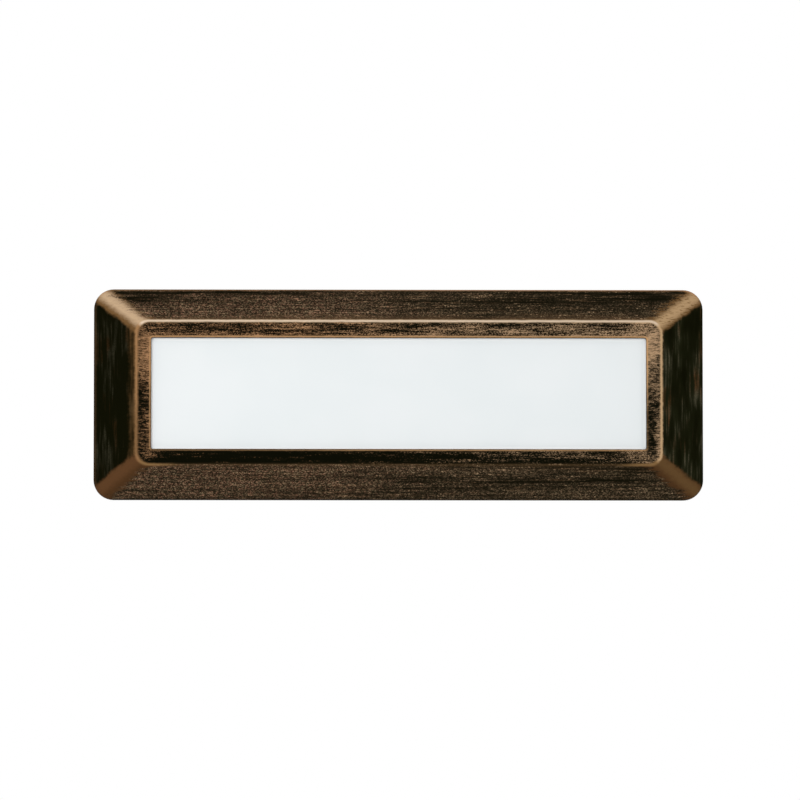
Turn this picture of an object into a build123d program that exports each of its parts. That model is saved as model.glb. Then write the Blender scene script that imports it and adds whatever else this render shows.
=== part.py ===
from build123d import *
import math
import os

# Recessed outdoor wall light: a bevelled rectangular frame with an opal window, on a light unit
# that two sprung clips hold in a box built into the wall.
# Millimetres. X runs along the light, Z is up, and Y runs into the wall: the front faces -Y.
# The origin is the centre of the frame's back, in the plane of the wall's face.

# Front frame, a hollow casting
FRAME_WIDTH = 260.0
FRAME_HEIGHT = 90.0
FRAME_PROJECTION = 14.0
FRAME_EDGE = 3.5
END_SLOPE = 18.4
LONG_SLOPE = 14.4
END_BEVEL = 6.2
LONG_BEVEL = 6.9
BEVEL_DROP = 3.6
LIP_THICKNESS = 1.2
OUTER_CORNER = 8.5
RIDGE_CORNER = 5.5
WINDOW_CORNER = 0.8
EDGE_ROUND = 0.8
RIDGE_ROUND = 1.3
LIP_ROUND = 0.5
FRAME_WALL = 2.5
RIM_WIDTH = 7.5
RIM_CORNER = 3.0
POCKET_WALL = 2.0
BOSS_RADIUS = 3.1
BOSS_END_SPACE = 35.0
THREAD_DEPTH = 6.0

# Foam seal between the frame and the wall
FOAM_INSET = 2.5
FOAM_WIDTH = 4.0
FOAM_DEPTH = 2.0

# Window pane and its channel seal
DIFFUSER_THICKNESS = 4.0
DIFFUSER_OVERLAP = 4.0
DIFFUSER_CORNER = 2.0
SEAL_LEG = 0.8
SEAL_SIDE = 1.5
SEAL_SETBACK = 0.6
POCKET_CLEARANCE = 0.2

# Reflector tray, folded from sheet
TRAY_SHEET = 1.5
TRAY_DEPTH = 30.0
TRAY_CLEARANCE = 0.4
MOUTH_SETBACK = 1.0
MOUTH_CORNER = 3.0
TRAY_END_TAPER = 8.5
TRAY_LONG_TAPER = 8.5

# Screws, all of the same thread
SCREW_RADIUS = 1.5
SCREW_HEAD_RADIUS = 2.8
SCREW_HEAD = 2.0
SCREW_SLOT = 0.8
SCREW_SLOT_DEPTH = 1.0
THREAD_CLEARANCE = 0.05
HOLE_CLEARANCE = 0.2

# Light source
BOARD_END_SPACE = 15.0
BOARD_SIDE_SPACE = 4.0
BOARD_THICKNESS = 1.6
PAD_THICKNESS = 0.5
BOARD_SCREW_INSET = 9.0
BOARD_SCREW_EDGE = 4.2
LED_COLUMNS = 10
LED_ROWS = 2
LED_ROW_SPACING = 10.0
LED_SCREW_SPACE = 11.0
LED_LENGTH = 3.5
LED_WIDTH = 2.8
LED_HEIGHT = 0.8

# Grommet and the two light source leads
GROMMET_INSET = 8.0
GROMMET_HOLE = 4.0
GROMMET_LIP = 1.5
GROMMET_FLANGE = 1.2
LEAD_RADIUS = 0.8
LEAD_SPACING = 2.4
LEAD_BEND = 4.0
LEAD_RUN = 8.0
LEAD_TAIL = 6.0
PAD_SPACING = 7.0
PAD_INSET = 2.5

# Driver: a moulded case with a lid, a circuit board and its large components
DRIVER_LENGTH = 88.0
DRIVER_WIDTH = 34.0
DRIVER_HEIGHT = 22.0
DRIVER_WALL = 1.8
DRIVER_LID = 2.0
DRIVER_SKIRT = 2.5
DRIVER_CORNER = 2.5
DRIVER_EAR = 8.0
DRIVER_EAR_THICKNESS = 2.0
DRIVER_SPACE = 7.0
POST_HEIGHT = 3.0
POST_RADIUS = 2.0
POST_INSET = 4.5
CIRCUIT_THICKNESS = 1.6
CIRCUIT_CLEARANCE = 0.5
TRANSFORMER_LENGTH = 18.0
TRANSFORMER_WIDTH = 16.0
TRANSFORMER_HEIGHT = 10.0
TRANSFORMER_CORE = 11.0
CAPACITOR_RADIUS = 4.0
CAPACITOR_LENGTH = 10.0
CAPACITOR_COUNT = 2
CAPACITOR_PITCH = 11.0

# Supply terminals: three poles in one block
POLE_COUNT = 3
POLE_PITCH = 10.0
TERMINAL_LENGTH = 18.0
TERMINAL_HEIGHT = 14.0
TERMINAL_SPACE = 20.0
TUBE_RADIUS = 2.6
TUBE_BORE = 1.7
TUBE_HEIGHT = 5.5
CLAMP_RADIUS = 1.3
CLAMP_INSET = 4.5
CLAMP_WELL = 1.9
CLAMP_HEAD = 1.6
CLAMP_SLOT = 0.5

# Earth connection
EARTH_SPACE = 9.0
EARTH_WASHER = 0.6
LUG_RADIUS = 3.4
LUG_THICKNESS = 0.8
LUG_BARREL_LENGTH = 5.0
LUG_BARREL_RADIUS = 1.5

# Box built into the wall
BOX_WALL = 2.5
BOX_CORNER = 6.0
BOX_END_SPACE = 10.8
BOX_LONG_SPACE = 7.0
BOX_RIM_GAP = 1.0
WIRING_SPACE = 26.0
KEY_HEIGHT = 1.5
KEY_WIDTH = 4.0
KEY_FRONT_SPACE = 18.0
KEY_PITCH = 30.0
KEY_COUNT = 2
FIXING_SPACING = 180.0
FIXING_RADIUS = 2.75
FIXING_PAD_RADIUS = 7.0
FIXING_PAD = 2.0
KNOCKOUT_RADIUS = 10.0
KNOCKOUT_GROOVE = 1.2
KNOCKOUT_DEPTH = 1.2
KNOCKOUT_BACK_SPACE = 16.0

# Cable gland and blanking plug, in two equal entries
ENTRY_SPACING = 110.0
ENTRY_THREAD = 10.0
ENTRY_CLEARANCE = 0.15
WASHER_RADIUS = 12.6
WASHER_THICKNESS = 1.5
LOCKNUT_FLATS = 26.0
LOCKNUT_THICKNESS = 4.5
ENTRY_TAIL = 2.0
GLAND_FLATS = 24.0
GLAND_HEX = 5.0
GLAND_NECK = 8.0
GLAND_SOCKET_RADIUS = 8.0
GLAND_BORE = 6.5
CABLE_RADIUS = 5.0
GLAND_CAP_GAP = 0.4
GLAND_CAP_DOME = 4.0
GLAND_CAP_WALL = 1.6
GLAND_CAP_THREAD_CLEARANCE = 0.1
PLUG_HEAD = 3.0
PLUG_HEAD_RADIUS = 12.5
PLUG_SLOT = 2.0
PLUG_SLOT_LENGTH = 14.0
PLUG_SLOT_DEPTH = 1.5

# Sprung clips, one at each end
HINGE_INSET = 5.6
HINGE_CLEARANCE = 0.05
PIN_RADIUS = 1.5
PIN_HEAD_RADIUS = 2.3
PIN_HEAD = 0.8
BRACKET_SHEET = 1.2
BRACKET_END_SPACE = 1.2
BRACKET_REACH = 5.1
EAR_RADIUS = 3.2
EAR_CLEARANCE = 0.5
RIVET_RADIUS = 1.2
RIVET_HEAD_RADIUS = 2.0
RIVET_HEAD = 0.8
RIVET_SPACE = 0.5
RIVET_PIN_SPACE = 0.8
ARM_SHEET = 0.8
ARM_HALF_HEIGHT = 11.5
ARM_LENGTH = 34.0
ARM_WINDOW = 12.0
TIP_LENGTH = 8.0
TIP_DROP = 4.5
TIP_BEND = 4.0
GRIP_THICKNESS = 1.0
GRIP_LENGTH = 9.0
GRIP_GAP = 0.3
GRIP_ROUND = 0.8
SPRING_WIRE = 0.9
SPRING_RADIUS = 2.35
SPRING_PITCH = 1.5
SPRING_TURNS = 5
SPRING_GAP = 0.1
SPRING_ROOM = 0.6
GAP_SAMPLES = 400
FIXED_LEG = 4.5
MOVING_LEG = 16.0

# Levels along Y, from the ridge of the frame to the back of the box
RIDGE_Y = -FRAME_PROJECTION
LIP_FRONT_Y = RIDGE_Y + BEVEL_DROP
LIP_BACK_Y = LIP_FRONT_Y + LIP_THICKNESS
PANE_FRONT_Y = LIP_BACK_Y + SEAL_LEG
PANE_BACK_Y = PANE_FRONT_Y + DIFFUSER_THICKNESS
FLANGE_FRONT_Y = PANE_BACK_Y + SEAL_LEG
FLANGE_BACK_Y = FLANGE_FRONT_Y + TRAY_SHEET
FLOOR_FRONT_Y = FLANGE_FRONT_Y + TRAY_DEPTH
FLOOR_BACK_Y = FLOOR_FRONT_Y + TRAY_SHEET
PAD_FRONT_Y = FLOOR_FRONT_Y - PAD_THICKNESS
BOARD_FRONT_Y = PAD_FRONT_Y - BOARD_THICKNESS
DRIVER_BACK_Y = FLOOR_BACK_Y + DRIVER_HEIGHT
LID_FRONT_Y = DRIVER_BACK_Y - DRIVER_LID
TERMINAL_BACK_Y = FLOOR_BACK_Y + TERMINAL_HEIGHT
TUBE_Y = FLOOR_BACK_Y + TUBE_HEIGHT
BOX_FRONT_Y = FLANGE_BACK_Y + SCREW_HEAD + BOX_RIM_GAP
BOX_FLOOR_Y = DRIVER_BACK_Y + WIRING_SPACE
BOX_BACK_Y = BOX_FLOOR_Y + BOX_WALL
ENTRY_FRONT_Y = BOX_FLOOR_Y - LOCKNUT_THICKNESS - ENTRY_TAIL
ENTRY_SEAT_Y = BOX_BACK_Y + WASHER_THICKNESS
HEX_BACK_Y = ENTRY_SEAT_Y + GLAND_HEX
NECK_BACK_Y = HEX_BACK_Y + GLAND_NECK
SOCKET_FLOOR_Y = HEX_BACK_Y
CAP_SHOULDER_Y = NECK_BACK_Y + GLAND_CAP_GAP

# Sizes across the light, from the window outwards
RIDGE = (FRAME_WIDTH - 2 * END_SLOPE, FRAME_HEIGHT - 2 * LONG_SLOPE)
WINDOW = (RIDGE[0] - 2 * END_BEVEL, RIDGE[1] - 2 * LONG_BEVEL)
PANE = tuple(size + 2 * DIFFUSER_OVERLAP for size in WINDOW)
SEAL = tuple(size + 2 * SEAL_SIDE for size in PANE)
POCKET = tuple(size + 2 * POCKET_CLEARANCE for size in SEAL)
POCKET_OUTSIDE = tuple(size + 2 * POCKET_WALL for size in POCKET)
HOLLOW = (FRAME_WIDTH - 2 * RIM_WIDTH, FRAME_HEIGHT - 2 * RIM_WIDTH)
FLANGE = tuple(size - 2 * TRAY_CLEARANCE for size in HOLLOW)
MOUTH = tuple(size + 2 * MOUTH_SETBACK for size in WINDOW)
MOUTH_OUTSIDE = tuple(size + 2 * TRAY_SHEET for size in MOUTH)
FLOOR = (MOUTH[0] - 2 * TRAY_END_TAPER, MOUTH[1] - 2 * TRAY_LONG_TAPER)
BOX_INSIDE = (MOUTH_OUTSIDE[0] + 2 * BOX_END_SPACE, MOUTH_OUTSIDE[1] + 2 * BOX_LONG_SPACE)
BOX = tuple(size + 2 * BOX_WALL for size in BOX_INSIDE)
BOARD_LENGTH = FLOOR[0] - 2 * BOARD_END_SPACE
BOARD_WIDTH = FLOOR[1] - 2 * BOARD_SIDE_SPACE
SEAL_CORNER = DIFFUSER_CORNER + SEAL_SIDE
POCKET_CORNER = SEAL_CORNER + POCKET_CLEARANCE

# Places along the tray's floor, from its right end to the left
GROMMET_X = FLOOR[0] / 2 - GROMMET_INSET
DRIVER_RIGHT_X = GROMMET_X - DRIVER_SPACE - DRIVER_EAR
DRIVER_LEFT_X = DRIVER_RIGHT_X - DRIVER_LENGTH
DRIVER_X = (DRIVER_LEFT_X + DRIVER_RIGHT_X) / 2
EARTH_X = DRIVER_LEFT_X - DRIVER_EAR - EARTH_SPACE
TERMINAL_RIGHT_X = EARTH_X - TERMINAL_SPACE
TERMINAL_X = TERMINAL_RIGHT_X - TERMINAL_LENGTH / 2
POLE_Z = [POLE_PITCH * (pole - (POLE_COUNT - 1) / 2) for pole in range(POLE_COUNT)]
EARTH_Z = POLE_Z[0]

# Places of the right-hand clip
HINGE_X = MOUTH_OUTSIDE[0] / 2 + HINGE_INSET
BRACKET_BACK_Y = FLANGE_BACK_Y + BRACKET_SHEET
HINGE_Y = BRACKET_BACK_Y + SPRING_RADIUS + SPRING_WIRE / 2 + HINGE_CLEARANCE
EAR_INNER = ARM_HALF_HEIGHT + EAR_CLEARANCE
EAR_OUTER = EAR_INNER + BRACKET_SHEET
RIVET_X = POCKET_OUTSIDE[0] / 2 + RIVET_SPACE + RIVET_HEAD_RADIUS
RIVET_HEIGHT = EAR_OUTER + PIN_HEAD + RIVET_PIN_SPACE + RIVET_HEAD_RADIUS
BRACKET_HALF_HEIGHT = RIVET_HEIGHT + RIVET_HEAD_RADIUS + BRACKET_END_SPACE
KNUCKLE_INSIDE = PIN_RADIUS + HINGE_CLEARANCE
KNUCKLE_OUTSIDE = KNUCKLE_INSIDE + ARM_SHEET
GRIP_END = ARM_LENGTH - TIP_BEND
SPRING_HALF_HEIGHT = (SPRING_TURNS + 0.25) * SPRING_PITCH / 2


def facing(y):
    """Plane parallel to the wall at that depth, whose x and y are the light's X and Z."""
    return Plane(origin=(0, y, 0), x_dir=(1, 0, 0), z_dir=(0, -1, 0))


def slab(size, corner, front, back):
    """Rounded rectangle of that size, from one depth to another."""
    return extrude(facing(front) * RectangleRounded(*size, corner), amount=front - back)


def funnel(front_size, front_corner, front, back_size, back_corner, back):
    """Straight-sided taper between two rounded rectangles."""
    ends = [
        facing(front) * RectangleRounded(*front_size, front_corner),
        facing(back) * RectangleRounded(*back_size, back_corner),
    ]
    return loft(ends, ruled=True)


def rod(x, z, radius, front, back):
    """Cylinder square to the wall."""
    return extrude(facing(front) * Pos(x, z) * Circle(radius), amount=front - back)


def hexagon(x, z, flats, front, back):
    """Hexagonal bar square to the wall, by its width across flats."""
    shape = RegularPolygon(flats / 2, side_count=6, major_radius=False)
    return extrude(facing(front) * Pos(x, z) * shape, amount=front - back)


def block(x_range, y_range, z_range):
    """Box between two limits on each axis."""
    ranges = (x_range, y_range, z_range)
    middle = [(low + high) / 2 for low, high in ranges]
    return Pos(*middle) * Box(*[high - low for low, high in ranges])


def both_sides(*values):
    """Each value with its mirror image."""
    return [sign * value for value in values for sign in (-1, 1)]


def screw(x, z, seat, tip):
    """Slotted screw whose head stands off its seat, away from the tip."""
    away = math.copysign(1, seat - tip)
    top = seat + away * SCREW_HEAD
    slot_floor = top - away * SCREW_SLOT_DEPTH
    body = rod(x, z, SCREW_RADIUS, *sorted((seat, tip)))
    body += rod(x, z, SCREW_HEAD_RADIUS, *sorted((seat, top)))
    slot = block(
        (x - SCREW_HEAD_RADIUS, x + SCREW_HEAD_RADIUS),
        sorted((slot_floor, top)),
        (z - SCREW_SLOT / 2, z + SCREW_SLOT / 2),
    )
    return body - slot


def lead(*points):
    """Insulated wire along straight runs, each corner rounded as far as its runs allow, up to LEAD_BEND."""
    places = [Vector(*point) for point in points]
    radii = []
    for before, corner, after in zip(places, places[1:], places[2:]):
        run_in, run_out = corner - before, after - corner
        half_turn = math.radians(run_in.get_angle(run_out)) / 2
        room = 0.45 * min(run_in.length, run_out.length) / math.tan(half_turn)
        radii.append(min(LEAD_BEND, room))
    path = FilletPolyline(*places, radius=radii)
    section = Plane(origin=path @ 0, z_dir=path % 0) * Circle(LEAD_RADIUS)
    return sweep(section, path=path)


def biarc(start, start_way, end, end_way):
    """Two arcs that leave the start and reach the end in the given unit directions."""
    chord = end - start
    ways = start_way + end_way
    square = 2 * start_way.dot(end_way) - 2
    reach = (chord.dot(ways) - math.sqrt(chord.dot(ways) ** 2 - square * chord.dot(chord))) / square
    first_corner = start + start_way * reach
    second_corner = end - end_way * reach
    middle = (first_corner + second_corner) / 2
    first = TangentArc(start, middle, tangent=start_way)
    return [first, TangentArc(middle, end, tangent=second_corner - first_corner)]


def boss_places():
    """Centres of the tray screws: three along the top of the frame and three along the bottom."""
    reach = HOLLOW[0] / 2 - BOSS_END_SPACE
    height = (POCKET_OUTSIDE[1] + HOLLOW[1]) / 4
    return [(x, z) for z in both_sides(height) for x in (-reach, 0, reach)]


def slope_inset(run, depth):
    """How far inside the frame's outline the inner face of an outer slope lies at that depth."""
    rise = FRAME_PROJECTION - FRAME_EDGE
    return (-depth - FRAME_EDGE) * run / rise + FRAME_WALL * math.hypot(run, rise) / rise


def front_frame():
    """Bevelled casting: outer slopes, a rounded ridge, an inner bevel and the window lip, hollow behind."""
    outline = (FRAME_WIDTH, FRAME_HEIGHT)
    frame = slab(outline, OUTER_CORNER, -FRAME_EDGE, 0)
    frame += funnel(RIDGE, RIDGE_CORNER, RIDGE_Y, outline, OUTER_CORNER, -FRAME_EDGE)
    frame -= funnel(RIDGE, RIDGE_CORNER, RIDGE_Y, WINDOW, WINDOW_CORNER, LIP_FRONT_Y)
    frame -= slab(WINDOW, WINDOW_CORNER, LIP_FRONT_Y, 0)
    for depth, radius in ((RIDGE_Y, RIDGE_ROUND), (-FRAME_EDGE, EDGE_ROUND), (LIP_FRONT_Y, LIP_ROUND)):
        frame = fillet(frame.edges().filter_by_position(Axis.Y, depth, depth), radius)

    top_insets = [slope_inset(run, LIP_BACK_Y) for run in (END_SLOPE, LONG_SLOPE)]
    hollow_top = [size - 2 * inset for size, inset in zip(outline, top_insets)]
    hollow = slab(HOLLOW, RIM_CORNER, -FRAME_EDGE, 0)
    hollow += funnel(hollow_top, RIM_CORNER, LIP_BACK_Y, HOLLOW, RIM_CORNER, -FRAME_EDGE)
    hollow -= slab(POCKET_OUTSIDE, POCKET_CORNER + POCKET_WALL, LIP_BACK_Y, FLANGE_FRONT_Y)
    for x, z in boss_places():
        hollow -= rod(x, z, BOSS_RADIUS, LIP_BACK_Y, FLANGE_FRONT_Y)
        hollow += rod(x, z, SCREW_RADIUS + THREAD_CLEARANCE, FLANGE_FRONT_Y - THREAD_DEPTH, FLANGE_FRONT_Y)
    return frame - hollow - slab(POCKET, POCKET_CORNER, LIP_BACK_Y, 0) - wall_seal()


def wall_seal():
    """Foam ring that closes the frame's back against the wall."""
    outside = (FRAME_WIDTH - 2 * FOAM_INSET, FRAME_HEIGHT - 2 * FOAM_INSET)
    inside = [size - 2 * FOAM_WIDTH for size in outside]
    corner = OUTER_CORNER - FOAM_INSET
    inner_corner = max(corner - FOAM_WIDTH, 0.25 * corner)
    return slab(outside, corner, -FOAM_DEPTH, 0) - slab(inside, inner_corner, -FOAM_DEPTH, 0)


def diffuser():
    """Flat opal pane."""
    return slab(PANE, DIFFUSER_CORNER, PANE_FRONT_Y, PANE_BACK_Y)


def diffuser_seal():
    """Rubber channel around the pane's edge."""
    opening = [size + 2 * SEAL_SETBACK for size in WINDOW]
    ring = slab(SEAL, SEAL_CORNER, LIP_BACK_Y, FLANGE_FRONT_Y)
    return ring - slab(opening, WINDOW_CORNER, LIP_BACK_Y, FLANGE_FRONT_Y) - diffuser()


def clip_rivet_places():
    """Centres of the rivets of both clip brackets."""
    return [(x, z) for x in both_sides(RIVET_X) for z in both_sides(RIVET_HEIGHT)]


def board_screw_places():
    """Centres of the screws that hold the light source board."""
    reach, height = BOARD_LENGTH / 2 - BOARD_SCREW_INSET, BOARD_WIDTH / 2 - BOARD_SCREW_EDGE
    return [(x, z) for x in both_sides(reach) for z in both_sides(height)]


def driver_screw_places():
    """Centres of the screws in the driver's two ears."""
    return [(DRIVER_LEFT_X - DRIVER_EAR / 2, 0), (DRIVER_RIGHT_X + DRIVER_EAR / 2, 0)]


def terminal_screw_places():
    """Centres of the screws between the terminal block's poles."""
    return [(TERMINAL_X, (low + high) / 2) for low, high in zip(POLE_Z, POLE_Z[1:])]


def reflector_tray():
    """Tapered sheet pan behind the window, with a flange that clamps the pane."""
    corner = MOUTH_CORNER + TRAY_SHEET
    floor_outside = [size + 2 * TRAY_SHEET for size in FLOOR]
    tray = slab(FLANGE, RIM_CORNER, FLANGE_FRONT_Y, FLANGE_BACK_Y)
    tray += funnel(MOUTH_OUTSIDE, corner, FLANGE_FRONT_Y, floor_outside, corner, FLOOR_BACK_Y)
    tray -= funnel(MOUTH, MOUTH_CORNER, FLANGE_FRONT_Y, FLOOR, MOUTH_CORNER, FLOOR_FRONT_Y)
    for x, z in boss_places():
        tray -= rod(x, z, SCREW_RADIUS + HOLE_CLEARANCE, FLANGE_FRONT_Y, FLANGE_BACK_Y)
    for x, z in clip_rivet_places():
        tray -= rod(x, z, RIVET_RADIUS, FLANGE_FRONT_Y, FLANGE_BACK_Y)
    tapped = board_screw_places() + driver_screw_places() + terminal_screw_places() + [(EARTH_X, EARTH_Z)]
    for x, z in tapped:
        tray -= rod(x, z, SCREW_RADIUS + THREAD_CLEARANCE, FLOOR_FRONT_Y, FLOOR_BACK_Y)
    return tray - rod(GROMMET_X, 0, GROMMET_HOLE, FLOOR_FRONT_Y, FLOOR_BACK_Y)


def tray_screws():
    """Screws that draw the tray's flange onto the frame."""
    tip = FLANGE_FRONT_Y - THREAD_DEPTH + HOLE_CLEARANCE
    return [screw(x, z, FLANGE_BACK_Y, tip) for x, z in boss_places()]


def board_block(front, back):
    """Plain block of the light source board's plan."""
    long_half, short_half = BOARD_LENGTH / 2, BOARD_WIDTH / 2
    return block((-long_half, long_half), (front, back), (-short_half, short_half))


def thermal_pad():
    """Heat-conducting sheet under the light source board."""
    pad = board_block(PAD_FRONT_Y, FLOOR_FRONT_Y)
    for x, z in board_screw_places():
        pad -= rod(x, z, SCREW_RADIUS + HOLE_CLEARANCE, PAD_FRONT_Y, FLOOR_FRONT_Y)
    return pad


def led_board():
    """Metal-cored circuit board that carries the light source."""
    board = board_block(BOARD_FRONT_Y, PAD_FRONT_Y)
    for x, z in board_screw_places():
        board -= rod(x, z, SCREW_RADIUS + HOLE_CLEARANCE, BOARD_FRONT_Y, PAD_FRONT_Y)
    return board


def led_chips():
    """Light source packages in even rows along the board."""
    reach = BOARD_LENGTH / 2 - BOARD_SCREW_INSET - LED_SCREW_SPACE
    pitch = 2 * reach / (LED_COLUMNS - 1)
    chips = []
    for row in range(LED_ROWS):
        z = LED_ROW_SPACING * (row - (LED_ROWS - 1) / 2)
        for column in range(LED_COLUMNS):
            x = pitch * (column - (LED_COLUMNS - 1) / 2)
            chip = block(
                (x - LED_LENGTH / 2, x + LED_LENGTH / 2),
                (BOARD_FRONT_Y - LED_HEIGHT, BOARD_FRONT_Y),
                (z - LED_WIDTH / 2, z + LED_WIDTH / 2),
            )
            chips.append(chip)
    return chips


def led_board_screws():
    """Screws through the board into the tray's floor."""
    return [screw(x, z, BOARD_FRONT_Y, FLOOR_BACK_Y) for x, z in board_screw_places()]


def tray_grommet():
    """Rubber ring that guards the leads where they pass the tray's floor."""
    front = FLOOR_FRONT_Y - GROMMET_FLANGE
    back = FLOOR_BACK_Y + GROMMET_FLANGE
    outside = GROMMET_HOLE + GROMMET_LIP
    bore = LEAD_SPACING / 2 + LEAD_RADIUS + HOLE_CLEARANCE
    grommet = rod(GROMMET_X, 0, GROMMET_HOLE, front, back)
    grommet += rod(GROMMET_X, 0, outside, front, FLOOR_FRONT_Y)
    grommet += rod(GROMMET_X, 0, outside, FLOOR_BACK_Y, back)
    return grommet - rod(GROMMET_X, 0, bore, front, back)


def led_lead(side):
    """Lead from the driver through the grommet to its solder pad on the board, above or below the middle."""
    z = side * LEAD_SPACING / 2
    pad_x = BOARD_LENGTH / 2 - PAD_INSET
    pad_z = side * PAD_SPACING / 2
    inside_y = BOARD_FRONT_Y - LEAD_BEND
    return lead(
        (DRIVER_RIGHT_X - LEAD_TAIL, lead_level(), z),
        (GROMMET_X, lead_level(), z),
        (GROMMET_X, inside_y, z),
        (pad_x, inside_y, pad_z),
        (pad_x, BOARD_FRONT_Y, pad_z),
    )


def driver_posts():
    """Centres of the posts that hold the driver's circuit board."""
    x_places = (DRIVER_LEFT_X + DRIVER_WALL + POST_INSET, DRIVER_RIGHT_X - DRIVER_WALL - POST_INSET)
    return [(x, z) for x in x_places for z in both_sides(DRIVER_WIDTH / 2 - DRIVER_WALL - POST_INSET)]


def driver_shape(inset, front, back):
    """Rounded block of the driver's plan, drawn in by a wall."""
    size = (DRIVER_LENGTH - 2 * inset, DRIVER_WIDTH - 2 * inset)
    return Pos(DRIVER_X, 0, 0) * slab(size, max(DRIVER_CORNER - inset, 0.25 * DRIVER_CORNER), front, back)


def driver_case():
    """Moulded tub with a fixing ear at each end and posts for its circuit board."""
    ears = block(
        (DRIVER_LEFT_X - DRIVER_EAR, DRIVER_RIGHT_X + DRIVER_EAR),
        (FLOOR_BACK_Y, FLOOR_BACK_Y + DRIVER_EAR_THICKNESS),
        (-DRIVER_EAR, DRIVER_EAR),
    )
    case = ears + driver_shape(0, FLOOR_BACK_Y, LID_FRONT_Y)
    floor = FLOOR_BACK_Y + DRIVER_WALL
    case -= driver_shape(DRIVER_WALL, floor, LID_FRONT_Y)
    for x, z in driver_posts():
        case += rod(x, z, POST_RADIUS, floor, floor + POST_HEIGHT)
    for x, z in driver_screw_places():
        case -= rod(x, z, SCREW_RADIUS + HOLE_CLEARANCE, FLOOR_BACK_Y, FLOOR_BACK_Y + DRIVER_EAR_THICKNESS)
    for x, heights in ((DRIVER_LEFT_X, supply_entries()), (DRIVER_RIGHT_X, both_sides(LEAD_SPACING / 2))):
        for z in heights:
            plane = Plane(origin=(x, lead_level(), z), x_dir=(0, 1, 0), z_dir=(1, 0, 0))
            hole = Circle(LEAD_RADIUS + THREAD_CLEARANCE)
            case -= extrude(plane * hole, amount=DRIVER_WALL, both=True)
    return case


def driver_lid():
    """Lid with a skirt that plugs into the case."""
    skirt_inset = DRIVER_WALL + THREAD_CLEARANCE
    skirt_front = LID_FRONT_Y - DRIVER_SKIRT
    lid = driver_shape(0, LID_FRONT_Y, DRIVER_BACK_Y) + driver_shape(skirt_inset, skirt_front, LID_FRONT_Y)
    return lid - driver_shape(skirt_inset + DRIVER_WALL, skirt_front, LID_FRONT_Y)


def circuit_levels():
    """Depths of the front and back of the driver's circuit board."""
    front = FLOOR_BACK_Y + DRIVER_WALL + POST_HEIGHT
    return front, front + CIRCUIT_THICKNESS


def driver_circuit():
    """Circuit board on the driver's posts."""
    return driver_shape(DRIVER_WALL + CIRCUIT_CLEARANCE, *circuit_levels())


def driver_transformer():
    """Wound transformer: a core block inside a wider winding block."""
    base = circuit_levels()[1]
    winding = block(
        (DRIVER_X - TRANSFORMER_LENGTH / 2, DRIVER_X + TRANSFORMER_LENGTH / 2),
        (base, base + TRANSFORMER_HEIGHT),
        (-TRANSFORMER_CORE / 2, TRANSFORMER_CORE / 2),
    )
    core = block(
        (DRIVER_X - TRANSFORMER_CORE / 2, DRIVER_X + TRANSFORMER_CORE / 2),
        (base, base + TRANSFORMER_HEIGHT),
        (-TRANSFORMER_WIDTH / 2, TRANSFORMER_WIDTH / 2),
    )
    return winding + core


def driver_capacitors():
    """Upright capacitors between the transformer and the driver's left end."""
    base = circuit_levels()[1]
    first = DRIVER_X - TRANSFORMER_LENGTH / 2 - CAPACITOR_PITCH
    places = [first - CAPACITOR_PITCH * number for number in range(CAPACITOR_COUNT)]
    return [rod(x, 0, CAPACITOR_RADIUS, base, base + CAPACITOR_LENGTH) for x in places]


def driver_screws():
    """Screws through the driver's ears into the tray's floor."""
    seat = FLOOR_BACK_Y + DRIVER_EAR_THICKNESS
    return [screw(x, z, seat, FLOOR_FRONT_Y) for x, z in driver_screw_places()]


def terminal_tube(z):
    """Brass tube of one pole, with two tapped holes for its clamp screws."""
    reach = TERMINAL_LENGTH / 2 - CLAMP_INSET / 2
    x_ends = (TERMINAL_X - reach, TERMINAL_X + reach)
    tube = tube_bar(z, TUBE_RADIUS, *x_ends) - tube_bar(z, TUBE_BORE, *x_ends)
    for x in clamp_places():
        tube -= rod(x, z, CLAMP_RADIUS + THREAD_CLEARANCE, TUBE_Y, TUBE_Y + TUBE_RADIUS)
    return tube


def tube_bar(z, radius, x_left, x_right):
    """Cylinder along the light, at the depth of the terminal tubes."""
    plane = Plane(origin=(x_left, TUBE_Y, z), x_dir=(0, 1, 0), z_dir=(1, 0, 0))
    return extrude(plane * Circle(radius), amount=x_right - x_left)


def clamp_places():
    """Places along the light of the clamp screws of every pole."""
    return [TERMINAL_X + reach for reach in both_sides(TERMINAL_LENGTH / 2 - CLAMP_INSET)]


def terminal_block():
    """Moulded block around the poles, with a well over each clamp screw."""
    half = (POLE_COUNT * POLE_PITCH) / 2
    x_ends = (TERMINAL_X - TERMINAL_LENGTH / 2, TERMINAL_RIGHT_X)
    body = block(x_ends, (FLOOR_BACK_Y, TERMINAL_BACK_Y), (-half, half))
    for z in POLE_Z:
        body -= tube_bar(z, TUBE_BORE, *x_ends)
        body -= tube_bar(z, TUBE_RADIUS, x_ends[0] + CLAMP_INSET / 2, x_ends[1] - CLAMP_INSET / 2)
        for x in clamp_places():
            body -= rod(x, z, CLAMP_WELL, TUBE_Y, TERMINAL_BACK_Y)
    for x, z in terminal_screw_places():
        body -= rod(x, z, SCREW_RADIUS + HOLE_CLEARANCE, FLOOR_BACK_Y, TERMINAL_BACK_Y)
    return body


def terminal_clamp_screws():
    """Two clamp screws in each pole, seated on the tube's bore side."""
    tip = TUBE_Y + TUBE_BORE / 2
    top = TUBE_Y + TUBE_RADIUS + CLAMP_HEAD
    screws = []
    for z in POLE_Z:
        for x in clamp_places():
            stem = rod(x, z, CLAMP_RADIUS, tip, top)
            slot_range = (z - CLAMP_SLOT / 2, z + CLAMP_SLOT / 2)
            slot = block((x - CLAMP_RADIUS, x + CLAMP_RADIUS), (top - CLAMP_HEAD / 2, top), slot_range)
            screws.append(stem - slot)
    return screws


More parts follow.
